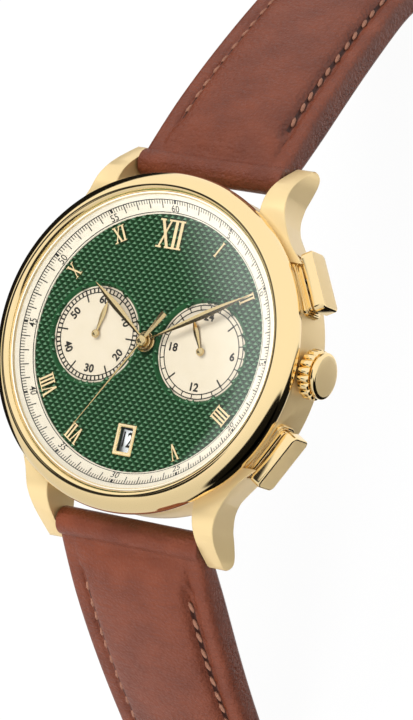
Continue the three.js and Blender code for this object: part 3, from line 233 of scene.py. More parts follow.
def lamp(name, size, watts, place, in_polish=False):
    light = bpy.data.lights.new(name, "AREA")
    light.shape = "DISK"
    light.size = size
    light.energy = watts
    holder = bpy.data.objects.new(name, light)
    holder.location = place
    holder.rotation_euler = Vector(place).to_track_quat("Z", "Y").to_euler()
    holder.visible_glossy = in_polish
    bpy.context.scene.collection.objects.link(holder)


lamp("key_lamp", 0.55, 10.0, (-0.30, 0.40, 0.80))
lamp("fill_lamp", 0.40, 7.0, (0.05, -0.65, 0.55))


# ---------- mid-case ----------
# The body of the watch: a turned steel ring with four lugs, gold plated and brushed to a satin. It is
# bored for the crown and the pushers, and the lugs are relieved where a pressed pusher passes them.
GOLD = (0.96, 0.745, 0.40)


def polished(name, colour=GOLD, roughness=0.05):
    finish = Finish(name, Base_Color=colour, Metallic=1.0)
    finish.set(Roughness=finish.noise(900, 3) * 0.06 + roughness)
    finish.bump(finish.noise(1500, 2), 0.0000008)
    return finish.material


def satin(name, colour=(0.84, 0.63, 0.33), stretch=(0.06, 0.06, 1), roughness=0.25, metallic=1.0):
    """Fine lines left by a brushing wheel, drawn out along two axes and close across the third."""
    finish = Finish(name, Base_Color=colour, Metallic=metallic)
    lines = finish.noise(9000, 3, stretch)
    finish.set(Roughness=lines * 0.12 + roughness)
    finish.bump(lines, 0.000003, 0.5)
    return finish.material


polished_gold = polished("polished_gold")
satin_gold = satin("satin_gold", (0.79, 0.60, 0.31), roughness=0.34, metallic=0.5)


def spun(profile, steps, axis="Z", closed=True):
    """Spins a profile of (radius, height), in millimetres, round the dial's axis or along X."""
    shape = bmesh.new()
    corners = [shape.verts.new((r, 0, z)) for r, z in profile]
    edges = [shape.edges.new(pair) for pair in zip(corners, corners[1:])]
    if closed:
        edges.append(shape.edges.new((corners[-1], corners[0])))
    turn = {"axis": (0, 0, 1), "cent": (0, 0, 0), "angle": 2 * math.pi, "steps": steps}
    bmesh.ops.spin(shape, geom=corners + edges, use_merge=True, **turn)
    bmesh.ops.remove_doubles(shape, verts=shape.verts, dist=1e-5)
    bmesh.ops.recalc_face_normals(shape, faces=shape.faces)
    if axis == "X":
        bmesh.ops.transform(shape, matrix=Matrix.Rotation(math.pi / 2, 4, "Y"), verts=shape.verts)
    return shape


def arc(cx, cz, radius, start, end, steps=6):
    """Points of a profile's round corner, from one angle to another in degrees."""
    angles = [math.radians(start + (end - start) * i / steps) for i in range(steps + 1)]
    return [(cx + radius * math.cos(a), cz + radius * math.sin(a)) for a in angles]


def curve_through(points):
    """A smooth curve through (place, value) points, as a function of the place."""
    places = [p for p, _ in points]
    values = [v for _, v in points]
    last = len(points) - 1

    def slope(i):
        a, b = max(i - 1, 0), min(i + 1, last)
        return (values[b] - values[a]) / (places[b] - places[a])

    def value(place):
        i = max(k for k in range(last) if k == 0 or places[k] <= place)
        span = places[i + 1] - places[i]
        t = min(max((place - places[i]) / span, 0), 1)
        rise = values[i + 1] - values[i]
        first, second = slope(i) * span - rise, rise - slope(i + 1) * span
        return values[i] + t * rise + t * (1 - t) * ((1 - t) * first + t * second)

    return value


def rounded(profile, steps):
    """More points along a smooth line through a profile's points."""
    r = curve_through(list(enumerate(p[0] for p in profile)))
    z = curve_through(list(enumerate(p[1] for p in profile)))
    last = len(profile) - 1
    return [(r(last * i / steps), z(last * i / steps)) for i in range(steps + 1)]


def drawn_out(sections):
    """A bar drawn out through its cross-sections, which all have the same number of corners."""
    shape = bmesh.new()
    end = shape.faces.new([shape.verts.new(p) for p in sections[0]])
    for section in sections[1:]:
        end = bmesh.ops.extrude_discrete_faces(shape, faces=[end])["faces"][0]
        for loop, place in zip(end.loops, section):
            loop.vert.co = place
    bmesh.ops.holes_fill(shape, edges=[e for e in shape.edges if e.is_boundary])
    bmesh.ops.recalc_face_normals(shape, faces=shape.faces)
    return shape


def carried(shape):
    """The shape as a mesh, and the shape is freed."""
    carrier = bpy.data.meshes.new("carrier")
    shape.to_mesh(carrier)
    shape.free()
    return carrier


def joined(*shapes):
    """One shape from several."""
    whole = bmesh.new()
    for shape in shapes:
        carrier = carried(shape)
        whole.from_mesh(carrier)
        bpy.data.meshes.remove(carrier)
    return whole


def copied(shape, *places):
    """The shape at each of several places, as one shape."""
    whole = bmesh.new()
    carrier = carried(shape)
    for place in places:
        first = len(whole.verts)
        first_face = len(whole.faces)
        whole.from_mesh(carrier)
        whole.verts.ensure_lookup_table()
        bmesh.ops.transform(whole, matrix=place, verts=whole.verts[first:])
        if place.determinant() < 0:
            whole.faces.ensure_lookup_table()
            bmesh.ops.reverse_faces(whole, faces=whole.faces[first_face:])
    bpy.data.meshes.remove(carrier)
    return whole


def carved(shape, cutter):
    """The shape less the cutter."""
    parts = [bpy.data.objects.new("part", carried(part)) for part in (shape, cutter)]
    for part in parts:
        bpy.context.scene.collection.objects.link(part)
    cut = parts[0].modifiers.new("cut", "BOOLEAN")
    cut.operation = "DIFFERENCE"
    cut.solver = "EXACT"
    cut.object = parts[1]
    graph = bpy.context.evaluated_depsgraph_get()
    left = bmesh.new()
    left.from_mesh(parts[0].evaluated_get(graph).data)
    for part in parts:
        bpy.data.meshes.remove(part.data)
    return left


def made(name, shape, body, slot, *finishes, replaced=(), sharp=32):
    """Makes a shape in millimetres a piece in metres, which rides on a body."""
    bmesh.ops.scale(shape, vec=(MM, MM, MM), verts=shape.verts)
    mesh = bpy.data.meshes.new(name)
    shape.to_mesh(mesh)
    shape.free()
    for finish in finishes:
        mesh.materials.append(finish)
    mesh.shade_smooth()
    mesh.set_sharp_from_angle(angle=math.radians(sharp))
    piece = bpy.data.objects.new(name, mesh)
    bpy.context.scene.collection.objects.link(piece)
    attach(piece, body)
    if replaced:
        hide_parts(*replaced)
    return piece


CASE_R = 19.4
CASE_LOW = 1.3
CASE_TOP = 7.35
BORE_R = 17.4
COLLAR_R = 18.3
COLLAR_TOP = 10.1
LIP_R = 17.2
LUG_INSIDE = 10.0
LUG_ROOT_Y = 12.0
LUG_TIP_Y = 23.6
BEVEL = {"affect": "EDGES", "profile": 0.5, "material": -1}
CONTROL_Z = 5.1
PUSHER_ANGLE = 29.3
CONTROL_BORE_R = 1.25
PUSHER_W = 3.6
PUSHER_H = 1.75
PUSHER_FACE = 21.95
PUSHER_BACK = 20.6
PRESS = 0.8
PLAY = 0.05


def slab(x0, x1, y0, y1, z0, z1):
    """A block between two corners."""
    shape = bmesh.new()
    bmesh.ops.create_cube(shape, size=1)
    bmesh.ops.scale(shape, vec=(x1 - x0, y1 - y0, z1 - z0), verts=shape.verts)
    bmesh.ops.translate(shape, vec=((x0 + x1) / 2, (y0 + y1) / 2, (z0 + z1) / 2), verts=shape.verts)
    return shape


def bore_from(start):
    """What is cut away along a control's axis for its tube and spring, from a radius outwards."""
    bore = [(0, start), (CONTROL_BORE_R, start), (CONTROL_BORE_R, 22), (0, 22)]
    return spun(bore, 24, "X", closed=False)


def control_place(side):
    """Takes what is made along X to a control: side 1 at 2 o'clock, 0 the crown, and -1 at 4 o'clock."""
    turn = Matrix.Rotation(math.radians(side * PUSHER_ANGLE), 4, "Z")
    return Matrix.Translation((0, 0, CONTROL_Z)) @ turn


case_ring = spun([
    (BORE_R, CASE_LOW), *arc(CASE_R - 0.4, CASE_LOW + 0.4, 0.4, -90, 0, 5),
    *arc(CASE_R - 0.22, CASE_TOP - 0.22, 0.22, 0, 90, 4), (18.9, CASE_TOP), (18.9, CASE_TOP - 0.35),
    (COLLAR_R, CASE_TOP - 0.35), (COLLAR_R, COLLAR_TOP), (LIP_R, COLLAR_TOP), (LIP_R, COLLAR_TOP - 0.1),
    (BORE_R, COLLAR_TOP - 0.1),
], 192)
case_ring = carved(case_ring, copied(bore_from(17), control_place(-1), control_place(0), control_place(1)))
lug_top = curve_through([
    (12, 7.35), (17.4, 7.35), (18.4, 7.2), (19.4, 6.75), (20.4, 5.95), (21.3, 4.9), (22.1, 3.7),
    (22.9, 2.35), (23.6, 1.15),
])
lug_facet = curve_through([
    (12, 17.0), (14, 15.0), (16.2, 13.75), (17.4, 13.3), (18.6, 13.0), (19.7, 12.72), (20.7, 12.5),
    (21.8, 12.32), (22.7, 12.25), (23.6, 12.2),
])
lug_flank = curve_through([
    (12, 15.4), (14, 13.9), (15, 13.15), (15.8, 12.65), (17, 12.3), (19, 12.2), (20, 12.4),
    (21, 12.6), (22, 12.8), (22.8, 12.85), (23.6, 12.5),
])
lug_low = curve_through([(12, 1.3), (17.2, 1.3), (18.6, 0.95), (21.4, 0.3), (23, 0.3), (23.6, 0.65)])


def lug_section(y):
    """A lug's cross-section: upright inside, a slightly falling top, and a leaning flank."""
    top, facet, flank, low = lug_top(y), lug_facet(y), lug_flank(y), lug_low(y)
    c = 0.09
    return [
        (LUG_INSIDE, y, low), (LUG_INSIDE, y, top - c), (LUG_INSIDE + c, y, top), (facet - c, y, top - 0.1),
        (facet, y, top - 0.1 - c), (flank, y, low + c), (flank - c, y, low),
    ]


LUG_STEPS = 40
lug_places = [LUG_ROOT_Y + (LUG_TIP_Y - LUG_ROOT_Y) * i / LUG_STEPS for i in range(LUG_STEPS + 1)]
lug = drawn_out([lug_section(y) for y in lug_places])
tip = [e for e in lug.edges if all(abs(v.co.y - LUG_TIP_Y) < 1e-4 for v in e.verts)]
bmesh.ops.bevel(lug, geom=tip, offset=0.28, segments=3, **BEVEL)
corners = [Matrix.Diagonal((x, y, 1, 1)) for x in (-1, 1) for y in (-1, 1)]
half_w = PUSHER_W + PLAY
half_h = PUSHER_H + PLAY
press_room = slab(PUSHER_BACK - PRESS - PLAY, PUSHER_FACE + 1, -half_w, half_w, -half_h, half_h)
lugs = carved(copied(lug, *corners), copied(press_room, control_place(-1), control_place(1)))
mid_case = joined(case_ring, lugs)
made("mid_case_and_lugs", mid_case, "case", "satin_gold", satin_gold, replaced=["mid_case"])

# ---------- bezel ----------
# A turned and polished ring, pressed on the mid-case's collar: a round belly that curls in at the
# foot, and an inner slope down to the crystal.
OPENING_R = 17.5
belly = rounded([
    (18.95, 7.37), (19.38, 7.42), (19.74, 7.85), (19.98, 8.5), (20.0, 9.05), (19.8, 9.72),
    (19.36, 10.32), (18.8, 10.75), (18.3, 10.95), (17.95, 10.92), (17.72, 10.7), (17.56, 10.4),
    (OPENING_R, COLLAR_TOP + 0.02),
], 48)
bezel = spun([*belly, (COLLAR_R + 0.02, COLLAR_TOP + 0.02), (COLLAR_R + 0.02, 7.37)], 256)
made("domed_bezel", bezel, "case", "polished_gold", polished_gold, replaced=["bezel"], sharp=50)

# ---------- crystal ----------
# Domed clear glass with a softly bevelled edge, in a cream nylon gasket.
crystal_glass = bpy.data.materials.new("crystal_glass")
glass = Shades(crystal_glass, "Material Output")
mirror = glass.tree.nodes["Principled BSDF"]
for name, value in {"Base Color": (1, 1, 1), "Metallic": 1.0, "Roughness": 0.02}.items():
    glass.feed(mirror.inputs[name], value)
clear = glass.node("BsdfTransparent", None, (0.99, 0.995, 0.99))
# Coated glass: each face mirrors a little, and never more than a tenth.
glance = (glass.node("Fresnel", None, 1.55) * 1.5).by("MINIMUM", 0.1)
glance = glance * glass.node("LightPath").at("Is Camera Ray")
glass.feed(glass.surface, glass.node("MixShader", None, glance, clear, Wire(glass, mirror.outputs[0])))
edge_glass = Finish("crystal_edge", Base_Color=(0.7, 0.7, 0.62), Specular_IOR_Level=0.0, Alpha=0.03)

CRYSTAL_R = 17.3
CRYSTAL_Z = 10.17
DOME = 0.55
CRYSTAL_THICK = 0.95
RINGS = 14
radii = [CRYSTAL_R * i / RINGS for i in range(RINGS + 1)]
under = [(r, CRYSTAL_Z + DOME * (1 - (r / CRYSTAL_R) ** 2)) for r in radii]
over = [(r, z + CRYSTAL_THICK) for r, z in reversed(under[:-1])]
edge = [(CRYSTAL_R, CRYSTAL_Z + 0.5), (CRYSTAL_R - 0.3, CRYSTAL_Z + CRYSTAL_THICK - 0.08)]
crystal = spun([*under, *edge, *over], 128, closed=False)
for face in crystal.faces:
    face.material_index = 1 if math.hypot(*face.calc_center_median().xy) > CRYSTAL_R - 0.4 else 0
made("domed_crystal", crystal, "case", "crystal", crystal_glass, edge_glass.material,
     replaced=["crystal"], sharp=20)

nylon = Finish("nylon", Base_Color=(0.85, 0.77, 0.62), Roughness=0.5)
nylon.bump(nylon.noise(5000), 0.000002)
gasket = spun([(17.32, 10.14), (17.48, 10.14), (17.48, 10.3), (17.32, 10.3)], 128)
made("crystal_seal", gasket, "case", "nylon", nylon.material, replaced=["crystal_gasket"])

# ---------- minute ring ----------
# A cream-painted sloping ring between dial and crystal, printed in black: a circle with a stroke for
# each second and fifth of a second, and numbers every five seconds.
FLANGE_FOOT_R = 15.15
FLANGE_FOOT_Z = 8.78
FLANGE_HIGH = COLLAR_TOP - 0.04
FLANGE_TOP_R = 17.28
SLOPE = (FLANGE_HIGH - FLANGE_FOOT_Z) / (FLANGE_TOP_R - FLANGE_FOOT_R)
TILT = math.atan(SLOPE)
PRINT = 0.018


def paint(name, low, high):
    """Matt cream paint, faintly uneven."""
    finish = Finish(name, Roughness=0.6)
    finish.set(Base_Color=finish.blend(finish.noise(700, 3), low, high))
    finish.bump(finish.noise(14000, 3), 0.0000012)
    return finish.material


ring_cream = paint("ring_cream", (0.68, 0.60, 0.475), (0.74, 0.67, 0.555))
disc_cream = paint("disc_cream", (0.585, 0.50, 0.375), (0.63, 0.55, 0.44))
ink = Finish("black_ink", Base_Color=(0.010, 0.009, 0.008))
ink.set(Roughness=ink.noise(6000) * 0.2 + 0.45)

flange = spun([
    (FLANGE_FOOT_R, 8.62), (17.19, 8.62), (17.19, 9.98), (FLANGE_TOP_R, FLANGE_HIGH),
    (FLANGE_TOP_R - 0.18, FLANGE_HIGH - 0.18 * SLOPE), (FLANGE_FOOT_R + 0.1, FLANGE_FOOT_Z + 0.1 * SLOPE),
    *arc(FLANGE_FOOT_R + 0.06, FLANGE_FOOT_Z, 0.06, 110, 180, 3),
], 192)
made("minute_ring", flange, "case", "cream_paint", ring_cream, replaced=["flange_ring"])


def on_ring(clockwise, radius, z, tilt=0.0):
    """The place on a printed ring: +Y is outwards, so text there reads from the centre."""
    turn = Matrix.Rotation(-math.radians(clockwise), 4, "Z")
    return turn @ Matrix.Translation((0, radius, z)) @ Matrix.Rotation(tilt, 4, "X")


def flange_z(radius):
    """Height of the sloping face."""
    return FLANGE_FOOT_Z + (radius - FLANGE_FOOT_R) * SLOPE


def letters(text, height, weight, *places):
    """Raised ink in the shape of some characters, centred on each place."""
    font = bpy.data.curves.new("letters", "FONT")
    font.body = text
    font.size = height / 0.7
    font.align_x = "CENTER"
    font.align_y = "CENTER"
    font.extrude = PRINT / 2
    font.offset = weight
    font.resolution_u = 3
    holder = bpy.data.objects.new("letters", font)
    bpy.context.scene.collection.objects.link(holder)
    outline = bpy.data.meshes.new_from_object(holder.evaluated_get(bpy.context.evaluated_depsgraph_get()))
    shape = bmesh.new()
    shape.from_mesh(outline)
    bpy.data.objects.remove(holder)
    bpy.data.meshes.remove(outline)
    bmesh.ops.remove_doubles(shape, verts=shape.verts, dist=1e-4)
    return copied(shape, *places)


def printed_circle(radius, width, z, slope=0.0):
    """A raised line of ink all round the middle."""
    r0, r1 = radius - width / 2, radius + width / 2
    z0, z1 = z - slope * width / 2, z + slope * width / 2
    return spun([(r0, z0), (r1, z1), (r1, z1 + PRINT), (r0, z0 + PRINT)], 192)


SECONDS_R = 16.66
INNER_CIRCLE_R = 15.33
NUMBERS_R = 15.72
strokes = [
    printed_circle(SECONDS_R, 0.09, flange_z(SECONDS_R), SLOPE),
    printed_circle(INNER_CIRCLE_R, 0.08, flange_z(INNER_CIRCLE_R), SLOPE),
]
STROKES = [
    (0.52, 0.085, lambda i: i % 5),
    (1.05, 0.12, lambda i: i % 5 == 0 and i % 25),
    (0.46, 0.30, lambda i: i % 25 == 0),
]
for length, width, wanted in STROKES:
    radius = SECONDS_R - length * math.cos(TILT) / 2
    places = [on_ring(1.2 * i, radius, flange_z(radius), TILT) for i in range(300) if wanted(i)]
    strokes.append(copied(slab(-width / 2, width / 2, -length / 2, length / 2, 0, PRINT), *places))
for second in range(5, 65, 5):
    upright = Matrix.Rotation(math.pi if 15 < second < 45 else 0, 4, "Z")
    place = on_ring(6 * second, NUMBERS_R, flange_z(NUMBERS_R) + PRINT / 2, TILT) @ upright
    strokes.append(letters(str(second), 0.84, 0.004, place @ Matrix.Diagonal((0.92, 1, 1, 1))))
made("minute_print", joined(*strokes), "case", "cream_paint", ink.material)

# ---------- dial ----------
# A stamped plate in deep green lacquer: rows of small pyramids, and a smooth rim round each sunk
# counter. The pyramids' upper slopes are painted lighter, most of all towards their tips: a painted
# highlight where the light from above falls on them. The imported dial is the plate below.
DIAL_Z = 8.6
COUNTER_X = 7.22
COUNTER_R = 5.7
RIM_R = 6.14
COUNTER_Z = 8.35
CELL_X = 0.86
CELL_Y = 0.92
STUD_HEIGHT = 0.2
CELLS = 52
ARBOR_ROOM_R = 1.4
DATE_R = 11.5


def lacquered(name, dark, light):
    """Even lacquer with a soft gloss."""
    finish = Finish(name, Specular_IOR_Level=0.12)
    finish.set(Base_Color=finish.blend(finish.noise(1500, 3), dark, light))
    finish.set(Roughness=finish.noise(9000, 2) * 0.1 + 0.3)
    return finish.material


def thinning(name, dark, light):
    """Green lacquer painted lighter towards the pyramids' tips: a painted highlight on the upper slopes that
    face the light.
    """
    finish = Finish(name, Specular_IOR_Level=0.12)
    height = finish.node("SeparateXYZ", None, finish.place).at("Z")
    # Painted highlight: lighter the nearer a point lies to a pyramid's tip.
    tip_highlight = finish.smooth_step(height, (DIAL_Z + 0.03) * MM, (DIAL_Z + 0.15) * MM)
    finish.set(Base_Color=finish.blend(tip_highlight, dark, light))
    finish.set(Roughness=finish.noise(9000, 2) * 0.1 + 0.3)
    return finish.material


deep_green = lacquered("deep_green", (0.003, 0.017, 0.004), (0.006, 0.030, 0.008))
rim_green = lacquered("rim_green", (0.010, 0.055, 0.018), (0.018, 0.080, 0.028))
# The lacquer's painted highlight, for the pyramids' upper slopes.
painted_lit_green = thinning("painted_lit_green", (0.010, 0.055, 0.018), (0.145, 0.28, 0.165))

studs = bmesh.new()
bmesh.ops.create_grid(studs, x_segments=CELLS, y_segments=CELLS, size=CELLS / 2)
skew = Matrix((
    (CELL_X / 2, CELL_X / 2, 0, 0),
    (-CELL_Y / 2, CELL_Y / 2, 0, 0),
    (0, 0, 1, 0),
    (0, 0, 0, 1),
))
bmesh.ops.transform(studs, matrix=skew, verts=studs.verts)
hidden = []
for face in studs.faces:
    middle = face.calc_center_median()
    near_counter = min((middle - Vector((side * COUNTER_X, 0, 0))).length for side in (-1, 1))
    in_window = abs(middle.x) < 1.0 and abs(middle.y + DATE_R) < 1.6
    past_edges = middle.length > FLANGE_FOOT_R + 0.3 or middle.length < ARBOR_ROOM_R
    if past_edges or near_counter < RIM_R - 0.3 or in_window:
        hidden.append(face)
bmesh.ops.delete(studs, geom=hidden, context="FACES")
bmesh.ops.poke(studs, faces=studs.faces, offset=STUD_HEIGHT, center_mode="MEAN")
# Faces that look towards 12 take the painted highlight; the others keep the plain deep green.
for face in studs.faces:
    face.material_index = 1 if face.normal.y > 0 else 0
bmesh.ops.translate(studs, vec=(0, 0, DIAL_Z + 0.005), verts=studs.verts)
made("dial_pyramids", studs, "case", "green_lacquer", deep_green, painted_lit_green, sharp=5)


def finished(node, *finishes):
    """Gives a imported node's own mesh its finish."""
    frame["nodes"][node].data.materials.clear()
    for finish in finishes:
        frame["nodes"][node].data.materials.append(finish)


finished("dial", deep_green)
rim_crest = rounded([
    (COUNTER_R + 0.24, DIAL_Z + 0.05), (COUNTER_R + 0.34, DIAL_Z + 0.15), (COUNTER_R + 0.5, DIAL_Z + 0.18),
    (RIM_R - 0.02, DIAL_Z + 0.13), (RIM_R + 0.06, DIAL_Z),
], 12)
rim = spun([
    (COUNTER_R - 0.12, COUNTER_Z - 0.05), (COUNTER_R + 0.03, COUNTER_Z + 0.03),
    (COUNTER_R + 0.16, COUNTER_Z + 0.22), *rim_crest,
], 128)
sides = [Matrix.Translation((side * COUNTER_X, 0, 0)) for side in (-1, 1)]
made("counter_rims", copied(rim, *sides), "case", "green_lacquer", rim_green)

# ---------- counters ----------
# Two cream discs sunk in the dial: the chronograph's sixty minutes at 9, and the twenty-four hours
# at 3, each with a railway track and plain numbers.
DISC_HOLE_R = 0.36
disc = spun([
    (DISC_HOLE_R, COUNTER_Z - 0.02), (COUNTER_R + 0.02, COUNTER_Z - 0.02),
    (COUNTER_R + 0.02, COUNTER_Z + 0.02), (DISC_HOLE_R, COUNTER_Z + 0.02),
], 128)
made("counter_discs", copied(disc, *sides), "case", "cream_paint", disc_cream)


def counter_print(side, divisions, width, every, offset, reach, numbers):
    """Track between two circles, long strokes inwards every few divisions, and numbers."""
    z = COUNTER_Z + 0.02
    outer, inner = COUNTER_R - 0.24, COUNTER_R - 0.78
    parts = [printed_circle(outer, 0.12, z), printed_circle(inner, 0.12, z)]
    step = 360 / divisions
    short = [on_ring(step * i, (outer + inner) / 2, z) for i in range(divisions)]
    half = (outer - inner) / 2
    parts.append(copied(slab(-width / 2, width / 2, -half, half, 0, PRINT), *short))
    long = [on_ring(step * i, inner - reach / 2, z) for i in range(offset, divisions, every)]
    parts.append(copied(slab(-0.09, 0.09, -reach / 2, reach / 2, 0, PRINT), *long))
    for text, clockwise, radius, turn in numbers:
        a = math.radians(clockwise)
        place = Matrix.Translation((radius * math.sin(a), radius * math.cos(a), z + PRINT / 2))
        parts.append(letters(text, 0.92, 0.042, place @ Matrix.Rotation(-math.radians(turn), 4, "Z")))
    shape = joined(*parts)
    bmesh.ops.translate(shape, vec=(side * COUNTER_X, 0, 0), verts=shape.verts)
    return shape


SIXTY = [
    ("60", 0, 4.05, 0), ("10", 60, 4.0, 60), ("20", 120, 4.0, -60), ("30", 180, 4.1, 0),
    ("40", 240, 4.0, 60), ("50", 300, 4.0, -60),
]
HOURS = [("24", 0, 4.1, 0), ("6", 90, 4.15, 0), ("12", 180, 4.15, 0), ("18", 270, 3.9, 0)]
made("minutes_print", counter_print(-1, 60, 0.19, 10, 5, 0.9, SIXTY), "case", "cream_paint", ink.material)
made("hours_print", counter_print(1, 24, 0.13, 6, 3, 0.9, HOURS), "case", "cream_paint", ink.material)

# ---------- date ----------
# A bevelled gold frame round the window, over a white ring that carries the thirty-one numbers.
white_paint = Finish("white_paint", Base_Color=(0.92, 0.94, 0.97), Roughness=0.5)
white_paint.bump(white_paint.noise(9000), 0.000001)
finished("date_ring", white_paint.material)
DATE_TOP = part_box("date_ring")[1].z / MM
SHOWN_DATE = 12
numbers = []
for day_number in range(1, 32):
    clockwise = 180 + 1.6 + (day_number - SHOWN_DATE) * 360 / 31
    place = on_ring(clockwise, DATE_R, DATE_TOP + PRINT / 2) @ Matrix.Rotation(math.pi, 4, "Z")
    numbers.append(letters(str(day_number), 1.75, 0.03, place @ Matrix.Diagonal((0.66, 1, 1, 1))))
made("date_numbers", joined(*numbers), "date", "cream_paint", ink.material)


def softened(node, width, segments=2, angle=30):
    """A copy of a node's mesh, in millimetres, with its sharp edges rounded."""
    shape = bmesh.new()
    shape.from_mesh(frame["nodes"][node].data)
    bmesh.ops.scale(shape, vec=(1 / MM,) * 3, verts=shape.verts)
    bmesh.ops.remove_doubles(shape, verts=shape.verts, dist=1e-3)
    flat = {"angle_limit": math.radians(1), "verts": shape.verts, "edges": shape.edges}
    bmesh.ops.dissolve_limit(shape, use_dissolve_boundaries=False, **flat)
    keen = [e for e in shape.edges if e.is_manifold and e.calc_face_angle() > math.radians(angle)]
    bmesh.ops.bevel(shape, geom=keen, offset=width, segments=segments, clamp_overlap=True, **BEVEL)
    return shape


# ---------- applied gold ----------
# The window's frame and nine roman numerals, stamped from gold sheet: their faces are matt, and
# their cut edges bright.
applied = Finish("applied_gold", Base_Color=(0.93, 0.72, 0.42), Metallic=0.5)
applied.set(Roughness=applied.noise(6000, 3) * 0.15 + 0.42)
applied.bump(applied.noise(20000, 2), 0.000001)


def stamped(name, node, width):
    """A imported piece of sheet, with its edges rounded: matt on its face, bright on its edges."""
    shape = softened(node, width, 1)
    for face in shape.faces:
        face.material_index = 0 if face.normal.z > 0.9 else 1
    made(name, shape, "case", "polished_gold", applied.material, polished_gold, replaced=[node])


stamped("window_frame", "date_frame", 0.10)
for hour in (12, 1, 2, 4, 5, 7, 8, 10, 11):
    stamped(f"applied_{hour}", f"numeral_{hour}", 0.05)

# ---------- hands ----------
# Leaf hands with a ridge down the middle, a needle with a flared tail for the chronograph's seconds,
# and a small leaf on each counter, all pressed on their pipes and arbors.
HAND_THICK = 0.16
hand_gold = polished("hand_gold", (0.84, 0.64, 0.34), 0.16)


def leaf(length, width, hub, hole):
    """Two facets that meet in a ridge and run out to the point, and a flat hub ring."""
    half = curve_through([
        (0, 0.13), (length * 0.12, 0.13), (length * 0.32, width * 0.32), (length * 0.5, width * 0.46),
        (length * 0.62, width / 2), (length * 0.78, width * 0.38), (length * 0.91, width * 0.18),
        (length, 0.015),
    ])
    steps = 28
    sections = []
    for i in range(steps + 1):
        y = 0.5 * hub + (length - 0.5 * hub) * i / steps
        w = half(y)
        crest = 0.045 + 0.27 * w
        sections.append([(-w, y, 0), (w, y, 0), (w, y, 0.04), (0, y, crest), (-w, y, 0.04)])
    hub_edge = [(hub, HAND_THICK - 0.06), *arc(hub - 0.06, HAND_THICK - 0.06, 0.06, 0, 90, 3)]
    return joined(drawn_out(sections), spun([(hole, 0), (hub, 0), *hub_edge, (hole, HAND_THICK)], 48))


def boss(radius, height):
    """The polished dome on a hub."""
    dome = rounded([
        (0, height + 0.1), (radius * 0.45, height + 0.05), (radius * 0.85, height - 0.06),
        (radius, height - 0.2),
    ], 10)
    return spun([*dome, (radius, 0.02)], 40, closed=False)


def hand(name, shape, body, x, z, clockwise, node):
    """Presses a hand on its arbor, pointing some degrees clockwise from 12."""
    turn = Matrix.Translation((x, 0, z)) @ Matrix.Rotation(-math.radians(clockwise), 4, "Z")
    bmesh.ops.transform(shape, matrix=turn, verts=shape.verts)
    made(name, shape, body, "polished_gold", hand_gold, replaced=[node], sharp=15)


small = joined(leaf(4.0, 0.66, 0.5, 0.27), boss(0.5, 0.30))
small_copy = small.copy()
hand("hour_leaf", leaf(10.35, 0.86, 1.2, 0.97), "hour", 0, 9.1, 305, "hour_hand")
hand("minute_leaf", leaf(14.4, 0.84, 0.9, 0.57), "minute", 0, 9.5, 60, "minute_hand")
hand("counter_leaf", small, "chrono_minute", -COUNTER_X, 8.62, 9.52, "chrono_minute_hand")
hand("day_leaf", small_copy, "day", COUNTER_X, 8.62, 332.5, "day_hand")

needle = drawn_out([
    [(-w, y, 0), (w, y, 0), (w, y, 0.1), (0, y, HAND_THICK), (-w, y, 0.1)]
    for y, w in [(-4.2, 0.40), (-3.8, 0.40), (-0.7, 0.17), (0, 0.14), (6, 0.10), (12.8, 0.04)]
])
needle = joined(needle, boss(0.65, 0.42))
hand("seconds_needle", needle, "chrono_seconds", 0, 9.9, 6 * 35.2, "chrono_seconds_hand")

# ---------- crown ----------
# A gold-plated crown screwed on the stem: rounded ribs for the fingers, a dark groove, and a smooth
# domed cap that stays bare.
CROWN_X = 19.5
FLUTES_END = 21.32
CAP_END = 22.0
FLUTES = 18
CORNERS_IN_FLUTE = 10


def ribs(x, share):
    """One section of the ribbed part: rounded ribs that meet in narrow grooves."""
    corners = []
    for i in range(FLUTES * CORNERS_IN_FLUTE):
        a = 2 * math.pi * i / (FLUTES * CORNERS_IN_FLUTE)
        radius = share * (2.6 + 0.33 * abs(math.sin(a * FLUTES / 2)) ** 0.6)
        corners.append((x, radius * math.cos(a), radius * math.sin(a)))
    return corners


grip = drawn_out([ribs(x, share) for x, share in [
    (CROWN_X, 0.8), (CROWN_X + 0.24, 0.88), (CROWN_X + 0.38, 0.96), (CROWN_X + 0.5, 1),
    (FLUTES_END - 0.28, 1), (FLUTES_END - 0.1, 0.97), (FLUTES_END, 0.90),
]])
WELL_R = 2.05
WELL_END = CROWN_X + 1.25
well = [(0, CROWN_X - 1), (WELL_R, CROWN_X - 1), (WELL_R, WELL_END), (0, WELL_END)]
grip = carved(grip, spun(well, 64, "X", closed=False))
cap = spun([
    (0, FLUTES_END - 0.1), (2.1, FLUTES_END - 0.1), (2.1, FLUTES_END + 0.14), (2.58, FLUTES_END + 0.16),
    *arc(2.6, FLUTES_END + 0.28, 0.1, -60, 0, 3), *arc(2.46, CAP_END - 0.22, 0.24, 0, 65, 5),
    (2.35, CAP_END + 0.09), (1.9, CAP_END + 0.15), (1.3, CAP_END + 0.20), (0.7, CAP_END + 0.225),
    (0, CAP_END + 0.235),
], 96, "X", closed=False)
for face in cap.faces:
    face.material_index = 1 if face.normal.x > 0.96 else 0
crown = joined(grip, cap)
bmesh.ops.translate(crown, vec=(0, 0, CONTROL_Z), verts=crown.verts)
made("ribbed_crown", crown, "crown", "polished_gold", polished_gold, satin_gold, replaced=["crown"], sharp=40)

